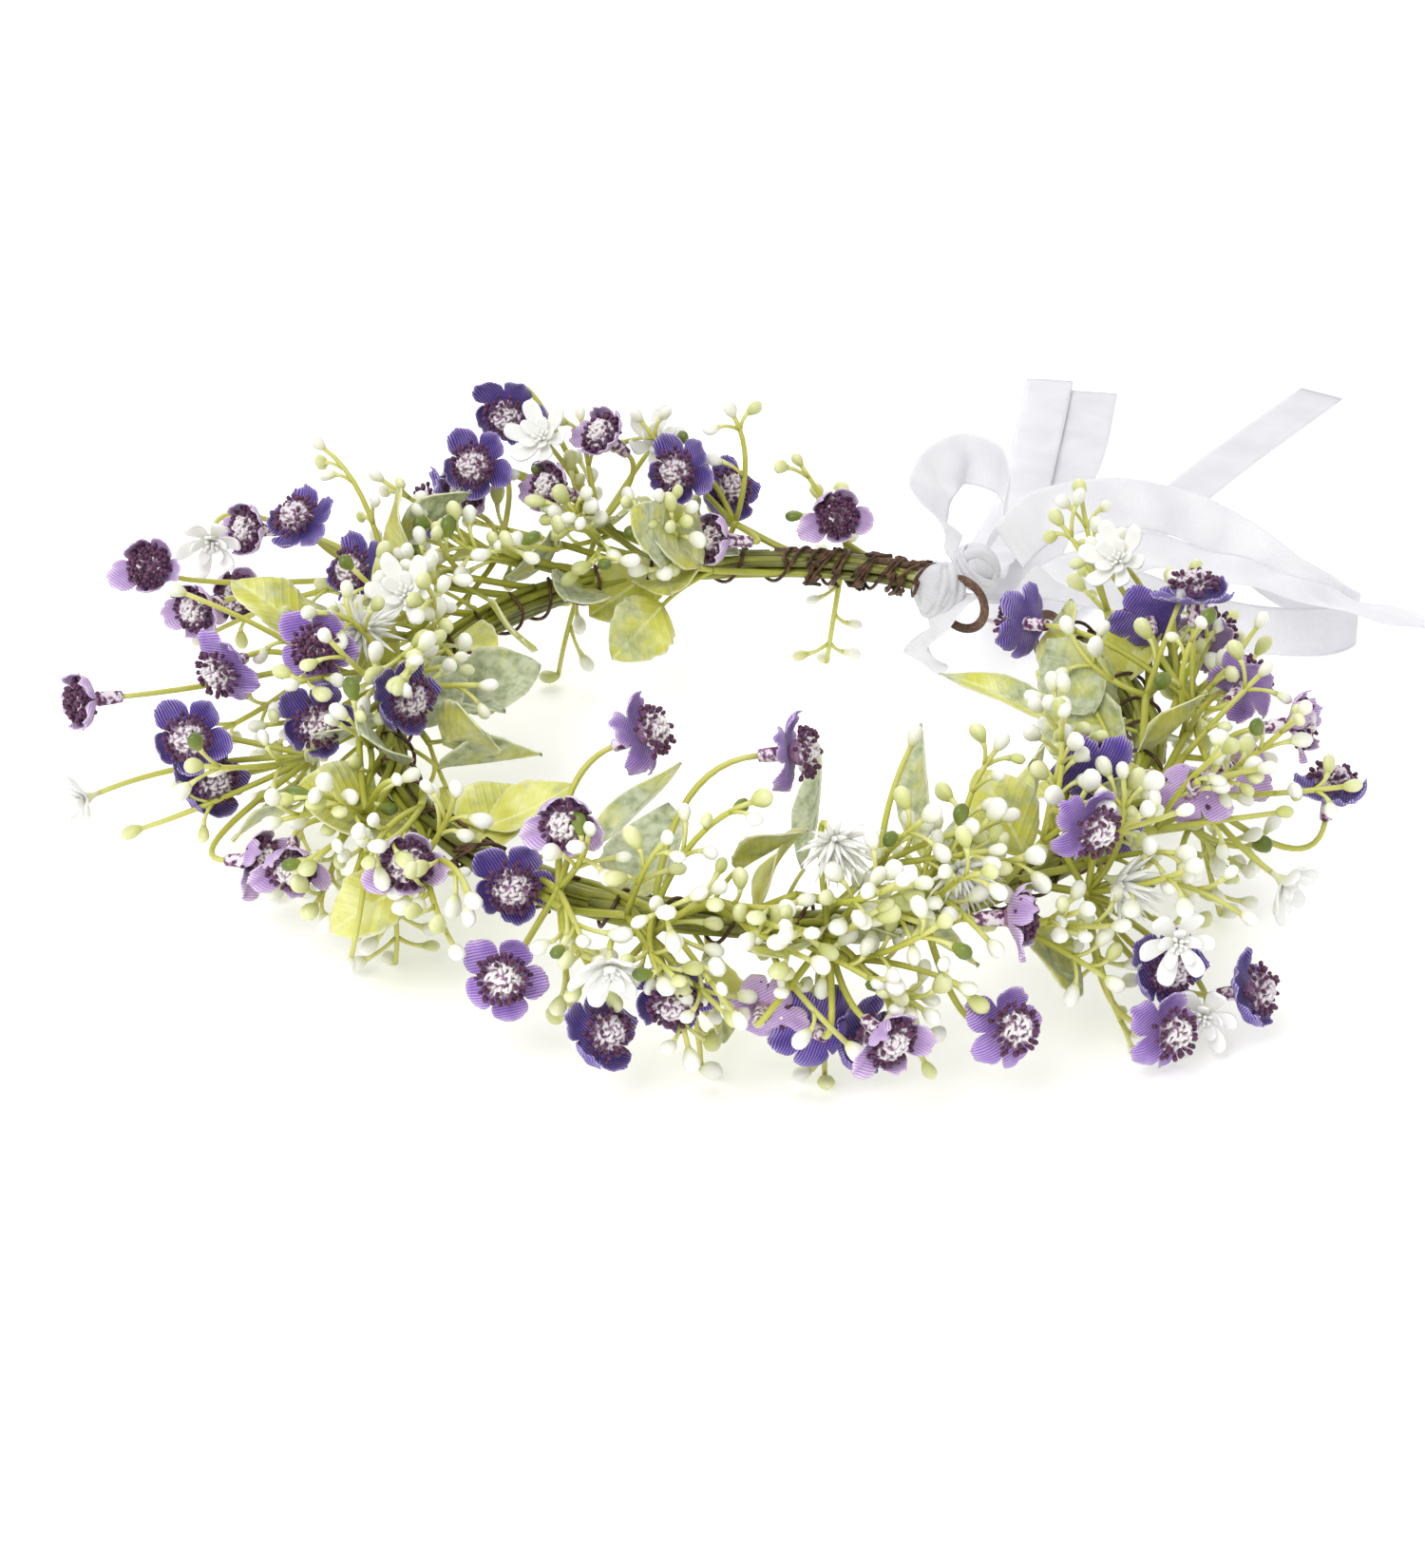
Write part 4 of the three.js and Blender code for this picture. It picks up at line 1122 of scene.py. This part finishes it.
def build_flower(name, colour, at, heading, climb, arm, node=None):
    """One flower: petals on their own piece, and the head of threads on another."""
    random = np.random.default_rng(abs(hash_of(name)))
    axes = flower_axes(heading, climb, random.uniform(0, 6.28))
    centre = place(at)
    body = f"{arm}_arm"
    if colour in ("white", "spiky"):
        if colour == "spiky":
            blocks = spiky_rays(random) + [stub()]
            piece = make_piece(
                name, moved(blocks, axes, centre), [WHITE_PETAL], body)
        else:
            lobes = int(random.integers(5, 8))
            size = random.uniform(0.74, 0.98)
            layers = [lobed_layer(random, 11.0 * size, lobes, 0.3, 0.15, 0.06),
                      lobed_layer(random, 7.4 * size, lobes - 1, 0.36, 0.6, 0.05)]
            piece = make_piece(name, moved(layers, axes, centre), [WHITE_PETAL], body,
                               0.55)
            make_piece(name + "_centre", moved([white_centre(random), stub()], axes, centre),
                       [WHITE_PETAL], body)
    else:
        points, flat, tone = cloth_petals(
            random, random.uniform(-0.05, 0.5), random.uniform(-0.1, 0.12))
        piece = make_piece(name + "_petals",
                           moved([patch(points, flat=flat, tone=tone)], axes, centre),
                           [PETALS[colour]], body, 0.3)
        head = stamens(random, name in DARK_HEADS) + [stamen_tube()]
        make_piece(
            name + "_stamens", moved(head, axes, centre), [STAMEN, STAMEN_TUBE], body)
    if node:
        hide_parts(node)


def hash_of(name):
    """A seed from a name that is the same in every run: its letters as one number."""
    return int.from_bytes(name.encode(), "little") % (2 ** 31)


made_flowers = 0
for number, (arm, _, _, _, flowers, _) in enumerate(SPRAYS, 1):
    for letter, (colour, at, heading, climb) in zip("abc", flowers):
        node = f"{colour}_flower_{number}{letter}"
        build_flower(node, colour, at, heading, climb, arm, node)
        made_flowers += 1
    for letter, (colour, at, heading, climb) in zip("defghijk", carried[number - 1]):
        build_flower(f"{colour}_flower_{number}{letter}", colour, at, heading, climb, arm)
        made_flowers += 1
print(made_flowers, "flowers made")

# %% [markdown]
# ## Leaves
#
# The leaves are folded along the midrib, curved along their length, and a little ragged at the
# edge. The outline is a sine with a blunt base and a drawn-out tip. Most are broad ovals close
# to the bundle on the inner side, and four are slender.

# %% Leaf shape
def leaf_blade(random, length, width, slender):
    """Half-width W sin(pi u)^p; height = fold |y| + bow along the length + edge ripple."""
    length, width = length * 1.2, width * 1.42
    u = np.linspace(0, 1, 19)[:, None]
    v = np.linspace(-1, 1, 13)
    power = 1.0 if slender else 0.72
    half = width / 2 * np.sin(np.pi * u ** (0.86 if slender else 0.95)) ** power
    ragged = 1 + random.normal(0, 0.03, (19, 1)) * (np.abs(v) > 0.9)
    across = half * v * ragged
    fold = random.uniform(0.15, 0.45)
    bow = random.uniform(-0.12, 0.2)
    height = fold * np.abs(across) + bow * length * (u - 0.5) ** 2 * -4 * 0.5
    height = height + 0.04 * width * np.sin(9 * u + 3 * v) * np.abs(v)
    points = np.stack([across, length * u + 0 * v, height], -1)
    flat = np.stack([across, length * u + 0 * v], -1)
    tone = np.maximum(np.abs(v) + 0 * u, np.abs(2 * u - 1) ** 3)
    return points, flat, tone


def leaf_axes(heading, climb, toward_point, roll):
    """Rows: across the blade, along it, and its face, which is turned toward a direction."""
    along = facing(heading, climb)
    face = toward_point - along * np.dot(toward_point, along)
    face = unit(face)
    across = np.cross(along, face)
    turned_across = across * np.cos(roll) + face * np.sin(roll)
    return np.stack([turned_across, along, np.cross(turned_across, along)])


SPRIG_LEAVES = {
    1: ("left", 1, (143, -9, 3),
        [((151, -12, 10), 255, 50), ((153, -12, -4), 275, -20), ((146, -10, 6), 225, 48)]),
    2: ("left", 8, (228, -9, 0),
        [((235, -13, 6), 350, 30), ((237, -12, -6), 340, -25), ((229, -8, -12), 250, -40)]),
    3: ("right", 1, (304, -9, 0),
        [((308, -12, 8), 20, 40), ((310, -12, -6), 30, -15), ((303, -10, -14), 330, -50)]),
    4: ("right", 9, (399, -9, 0),
        [((403, -13, 6), 170, 35), ((405, -12, -8), 150, -20), ((396, -13, -12), 200, -15)]),
}
# middle of the blade, heading and climb of its tip, length and width
LOOSE_LEAVES = {
    "left": [
        ((177, 9, 10), 250, 20, 21, 14), ((171, 6, 8), 300, 30, 20, 13),
        ((158, 10, 12), 330, 35, 22, 15), ((146, 3, 4), 20, 10, 22, 13),
        ((157, -4, -1), 250, -25, 20, 13), ((151, -6, 1), 320, 10, 20, 13),
        ((188, 24, 20), 150, 50, 21, 14), ((183, 24, 19), 60, 40, 22, 14),
        ((201, 40, 10), 230, 20, 20, 13), ((207, 38, 15), 200, 30, 20, 13),
        ((217, -14, 0), 20, 15, 22, 14), ((208, -20, 2), 60, 20, 21, 13),
        ((237, -21, 0), 40, 10, 22, 14), ((230, 14, 3), 20, 40, 21, 13),
        ((247, 15, 0), 250, 30, 27, 18), ((259, 21, -10), 250, -20, 19, 12),
        ((262, -18, 3), 60, 20, 20, 12), ((258, -12, 0), 100, 15, 21, 13),
        ((222, -8, 8), 80, 30, 20, 12), ((198, -6, 4), 0, 20, 20, 12),
        ((186, -8, 2), 330, 10, 20, 13), ((168, -6, 2), 300, 15, 20, 12),
        ((212, 10, 12), 200, 50, 20, 13), ((241, 6, 12), 300, 40, 21, 13),
        ((228, 30, -18), 230, -30, 20, 13), ((190, 12, -10), 180, -40, 20, 12),
    ],
    "right": [
        ((292, -10, 6), 110, 25, 27, 14), ((313, -10, 8), 100, 30, 21, 13),
        ((315, 9, 0), 310, 30, 22, 15), ((325, 10, 0), 350, 30, 21, 14),
        ((303, 10, -10), 290, -10, 19, 12), ((425, -12, 5), 130, 50, 22, 14),
        ((415, -11, 1), 220, 25, 22, 14), ((402, -14, 0), 180, 20, 23, 15),
        ((380, -1, 0), 160, 40, 21, 13), ((357, -14, 8), 170, 40, 20, 12),
        ((370, -18, 6), 120, 30, 20, 12), ((345, -6, 4), 150, 30, 20, 12),
        ((335, 2, -6), 20, -20, 20, 13), ((392, 6, 10), 40, 50, 20, 13),
        ((410, 2, -8), 60, -20, 20, 12), ((366, 6, 12), 60, 40, 20, 12),
        ((350, 12, -12), 0, -40, 20, 13), ((420, 4, 8), 100, 40, 20, 13),
        ((322, -34, 9), 125, 30, 29, 7), ((344, -28, 12), 135, 40, 30, 7),
        ((409, -32, 5), 205, 15, 30, 8), ((280, -30, 5), 75, 30, 28, 7),
    ],
}


def leaf_block(random, base, heading, climb, length, width):
    """One blade with its root at the base, its face turned up and toward the nearer side."""
    inward = -unit(base * [1, 1, 0])
    outside = np.linalg.norm(base[:2]) > HOOP_RADIUS + 4
    lit = np.array([0, 0, 1.0]) + (-0.8 if outside else 0.8) * inward
    axes = leaf_axes(heading, climb, unit(lit), random.uniform(-0.5, 0.5))
    points, flat, tone = leaf_blade(random, length, width, width < 9)
    tint = random.uniform(0, 1)
    return patch(points @ axes + base, tone=tone, tint=tint, flat=flat)


def leaf_stalk(base):
    """A thin stalk from the bundle to the root of the blade."""
    angle = np.degrees(np.arctan2(base[1], base[0])) % 360
    lag = 5.0
    start = hoop_arc(angle - lag, angle - lag, 1)[0] + [0, 0, 2.0]
    middle = (start + base) / 2 + [0, 0, 2.5]
    return tubes(bends(start, middle, base, 8), 0.55, 6, tone=np.linspace(0.3, 0.7, 8))


# %% Build the leaves
leaf_total = 0
for sprig, (arm, turn, fork, leaves) in SPRIG_LEAVES.items():
    random = np.random.default_rng(300 + sprig)
    leave = BIND_FROM[arm] + BIND_PITCH * (turn + 0.5 + 200 / 360) - LEAVE_LEAD
    stem = stem_in_bundle(leave, 200, fork, BIND_FROM[arm])
    # the stem starts at tone 0, painted dark olive as shade where it runs inside the bundle
    stalks = [tubes(stem, 0.9, 10, tone=np.linspace(0, 0.5, 40))]
    blades = []
    for at, heading, climb in leaves:
        base, start = place(at), place(fork)
        way = facing(heading, climb)
        middle = base - way * 0.45 * np.linalg.norm(base - start)
        stalks.append(tubes(
            bends(start + unit(base - start) * PITH, middle, base, 10), 0.6, 7, tone=0.6))
        blades.append(leaf_block(random, base - way * 0.8, heading, climb, 19, 13))
    piece = make_piece(f"leaf_sprig_{sprig}_blades", blades, [LEAF], f"{arm}_arm", 0.4)
    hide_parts(f"leaf_sprig_{sprig}")
    make_piece(f"leaf_sprig_{sprig}_stems", stalks, [STEM], f"{arm}_arm")
    leaf_total += len(blades)
for arm, leaves in LOOSE_LEAVES.items():
    random = np.random.default_rng(320 if arm == "left" else 321)
    blades, stalks = [], []
    for at, heading, climb, length, width in leaves:
        base = place(at) - facing(heading, climb) * length / 2
        base[2] = max(base[2], 4.0)
        blades.append(leaf_block(random, base, heading, climb, length, width))
        stalks.append(leaf_stalk(base))
    make_piece(f"loose_leaves_{arm}_blades", blades, [LEAF], f"{arm}_arm", 0.4)
    make_piece(f"loose_leaves_{arm}_stems", stalks, [STEM], f"{arm}_arm")
    leaf_total += len(blades)
print(leaf_total, "leaves")

# %% [markdown]
# ## Ribbon
#
# Two lengths of 15 mm ribbon are tied to the left eye in a bow: a small loop, a large loop and
# four tails. Each is a band carried along a route. Lean turns the band about its route, so that
# 0 lies flat and 90 stands on edge. Slow waves and a slight curl across the width keep it from
# looking like a strip of card, and the part that lies on the table stays flat.

# %% Ribbon bands
RIBBON_WIDTH = 15.0
ROUTES = {
    "bow_loop_small": [
        (-33, 112, 38, 70), (-40, 112, 42, 60), (-49, 118, 46, 40), (-57, 132, 47, 45),
        (-60, 148, 45, 85), (-51, 152, 43, 90), (-39, 140, 40, 85), (-30, 124, 38, 70)],
    "bow_loop_large": [
        (-20, 118, 41, 65), (-19, 129, 46, 58), (-9, 143, 49, 42), (1, 160, 45, 42),
        (11, 178, 33, 65), (22, 193, 18, 88), (30, 204, 9.5, 90), (38.5, 205, 8, 90),
        (37.5, 191, 8.2, 90), (17, 174, 9, 90), (-6, 161, 15, 85), (-14, 144, 23, 75),
        (-15, 123, 32, 60)],
    "ribbon_tail_a": [
        (-30, 118, 28, 0), (-48, 142, 17, 0), (-70, 176, 6, 0), (-88, 208, 2.4, 0),
        (-113, 246, 1.8, 0), (-141, 287, 1, 0)],
    "ribbon_tail_b": [
        (-27, 119, 22, 0), (-40, 142, 10, 0), (-59, 178, 1.4, 0), (-78, 212, 0.2, 0),
        (-100, 252, 0, 0), (-126, 291, 0, 0)],
    "ribbon_tail_c": [
        (-22, 119, 16, 0), (-31, 142, 5.6, 0), (-39, 180, 0.9, 0), (-51, 222, 0, 0),
        (-61, 270, 0, 0), (-72, 341, 0, 0)],
    "ribbon_tail_d": [
        (-4, 118, 37, 0), (1, 132, 38, 10), (7, 147, 38, 15), (20, 161, 33, 10), (33, 177, 26, 5),
        (45, 192, 18, 0), (55, 214, 8, 0), (62, 228, 0.3, 0)],
}


def ribbon_band(route, random, waves):
    """Centreline + across v + face (waves + curl v^2), on a grid along and across the ribbon."""
    route = np.array(route, float)
    count = 14 * (len(route) - 1) + 1
    line = smooth_path(route[:, :3], count)
    lean = np.radians(np.interp(
        np.linspace(0, len(route) - 1, count), np.arange(len(route)), route[:, 3]))
    along = unit(np.gradient(line, axis=0))
    level = unit(np.stack([-along[:, 1], along[:, 0], 0 * along[:, 0]], -1))
    upright = np.cross(along, level)
    across = level * np.cos(lean)[:, None] + upright * np.sin(lean)[:, None]
    face = np.cross(along, across)
    run = lengths_along(line[None])[0]
    v = np.linspace(-0.5, 0.5, 13)
    free = np.clip(line[:, 2] / 12, 0, 1)[:, None]
    sway = sum(random.uniform(0.3, 0.8)
               * np.sin(2 * np.pi * run / wavelength + random.uniform(0, 6.28))[:, None]
               * np.cos(np.pi * v * order + random.uniform(-0.6, 0.6))
               for wavelength, order in ((46, 1), (27, 2), (19, 1)))
    height = 0.4 + free * waves * sway
    points = (line[:, None] + across[:, None] * (RIBBON_WIDTH * v)[:, None]
              + face[:, None] * height[..., None])
    points[..., 2] = np.maximum(points[..., 2], 0.32)
    flat = np.stack(np.broadcast_arrays(RIBBON_WIDTH * v, run[:, None]), -1)
    return patch(points, flat=flat), run[-1]


for name, route in ROUTES.items():
    random = np.random.default_rng(hash_of(name))
    band, long = ribbon_band(route, random, 0.9)
    piece = make_piece(name + "_ribbon", [band], [RIBBON], "bow", 0.22)
    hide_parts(name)
    print(name, "is", round(long), "mm long")

# %% [markdown]
# ## Knots
#
# A knot is ribbon pulled tight: a few bands that cross over one another, each gathered into
# pleats. Each band is a closed ring on an egg-shaped former, with ridges that run along it.

# %% Knot shapes
def on_former(turn, tilt, lift, size, lean, spin):
    """Points of a unit ball at that turn and tilt, lifted, turned twice, then stretched to size."""
    ball = np.stack([
        np.cos(tilt) * np.cos(turn), np.cos(tilt) * np.sin(turn), np.sin(tilt) + 0 * turn], -1)
    c, s = np.cos(lean), np.sin(lean)
    leaned = (ball * lift[..., None]) @ np.array([[1, 0, 0], [0, c, s], [0, -s, c]])
    c, s = np.cos(spin), np.sin(spin)
    return leaned @ np.array([[c, s, 0], [-s, c, 0], [0, 0, 1]]) * size


def knot_bands(random, centre, size, bands):
    """Bands round an egg: half-width w of latitude, lifted 1 + order + pleats along the band."""
    turn = np.linspace(0, 2 * np.pi, 81)[:, None]
    v = np.linspace(-1, 1, 19)
    blocks = []
    for order, (lean, spin, wide) in enumerate(bands):
        phase = random.uniform(0, 6.28, 3)
        squeeze = 1 + 0.3 * np.cos(turn + phase[0])
        pleats = (0.035 * np.cos(9 * v + 1.5 * np.sin(turn + phase[1]))
                  + 0.03 * np.sin(3 * turn + 4 * v + phase[2]))
        edge = -0.06 * np.abs(v) ** 6
        lift = 1.0 + 0.07 * order + pleats * (1 - v ** 8) + edge
        points = on_former(turn, wide * v * squeeze, lift, size, lean, spin) + centre
        flat = np.stack(np.broadcast_arrays(7.4 * v, 7 * turn), -1)
        blocks.append(patch(points, flat=flat))
    return blocks


def knot_core(random, centre, size):
    """The pleated lump under the bands: a ball with twisted ridges that die out at its poles."""
    turn = np.linspace(0, 2 * np.pi, 61)
    tilt = np.linspace(-np.pi / 2, np.pi / 2, 25)[:, None]
    ridges = 0.04 * np.cos(tilt) * np.cos(5 * turn + 3.2 * tilt + random.uniform(0, 6.28))
    points = on_former(turn, tilt, 0.92 + ridges, size, 0.5, 0.3) + centre
    flat = np.stack(np.broadcast_arrays(7.4 * np.sin(turn), 7 * tilt), -1)
    return patch(points, flat=flat)


KNOT_END = [(-17, 97, 36, 10), (-18, 91.5, 35, 10), (-19, 87, 30, 10), (-20, 85.5, 23, 12),
            (-20, 85, 17, 20)]
KNOTS = {
    "ribbon_knot_left": (place([90 + EYE_ANGLE + 4.2, 0, -2]), (8.2, 6.4, 7.6), "left_arm",
                         [(1.5, -1.35, 0.9), (1.1, -0.6, 0.42)]),
    "ribbon_knot_right": (place([90 - EYE_ANGLE - 3.6, 0, -7]), (4.8, 4.3, 4.8), "right_arm",
                          [(1.5, -1.75, 0.85)]),
    "bow_knot": (np.array([-22.0, 107.0, HOOP_HEIGHT]), (6.8, 5.8, 6.3), "bow",
                 [(1.3, 0.5, 0.8), (0.7, 1.9, 0.45)]),
}
for name, (centre, size, body, bands) in KNOTS.items():
    random = np.random.default_rng(hash_of(name))
    blocks = (knot_bands(random, centre, np.array(size), bands)
              + [knot_core(random, centre, np.array(size))])
    piece = make_piece(name + "_ribbon", blocks, [RIBBON], body, 0.4)
    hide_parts(name)
# the short end that hangs from the left knot is a sheet of its own
band, long = ribbon_band(KNOT_END, np.random.default_rng(91), 0.9)
piece = make_piece("knot_end_left", [band], [RIBBON], "left_arm", 0.22)
print("knots:", ", ".join(KNOTS), "and an end", round(long), "mm long")

# %% [markdown]
# ## Studio
#
# The crown stands on a white table that runs out of sight, in even light from all round with one
# large soft light above the viewer's left shoulder, so the plastic gets gentle highlights.

# %% Floor and light
floor_mesh = bpy.data.meshes.new("table")
floor_mesh.from_pydata([(-12, -12, 0), (12, -12, 0), (12, 12, 0), (-12, 12, 0)], [], [(0, 1, 2, 3)])
table = bpy.data.objects.new("table", floor_mesh)
bpy.context.collection.objects.link(table)
# the sheet is lit from below, which keeps the shadows under the crown faint
table_material, spot = new_material("backlit_white_acrylic_sheet")
cloud = add(table_material, "TexNoise", spot, blotches(400), 2)
white = add(table_material, "ValToRGB", cloud, stops=[(0.3, "#fafafb"), (0.7, "#ffffff")])
shader = add(table_material, "BsdfPrincipled", Base_Color=white, Roughness=0.6,
             Emission_Color=(1, 1, 1, 1), Emission_Strength=0.22)
add(table_material, "OutputMaterial", shader)
floor_mesh.materials.append(table_material)

world = bpy.data.worlds.new("even_light")
bpy.context.scene.world = world
world.use_nodes = True
sky = world.node_tree.nodes["Background"]
sky.inputs["Color"].default_value = (1, 1, 1, 1)
sky.inputs["Strength"].default_value = 0.85


def soft_light(name, away, size, power):
    """An area light that looks at the middle of the hoop from a given offset in metres."""
    data = bpy.data.lights.new(name, "AREA")
    data.size, data.energy = size, power
    lamp = bpy.data.objects.new(name, data)
    bpy.context.collection.objects.link(lamp)
    lamp.location = hoop_middle + Vector(away)
    lamp.rotation_euler = (-Vector(away)).to_track_quat("-Z", "Y").to_euler()
    return lamp


soft_light("key_light", (0.25, -1.1, 1.3), 0.9, 14)
soft_light("fill_light", (-1.2, 0.9, 1.1), 1.2, 8)
bpy.context.scene.view_settings.view_transform = "Standard"
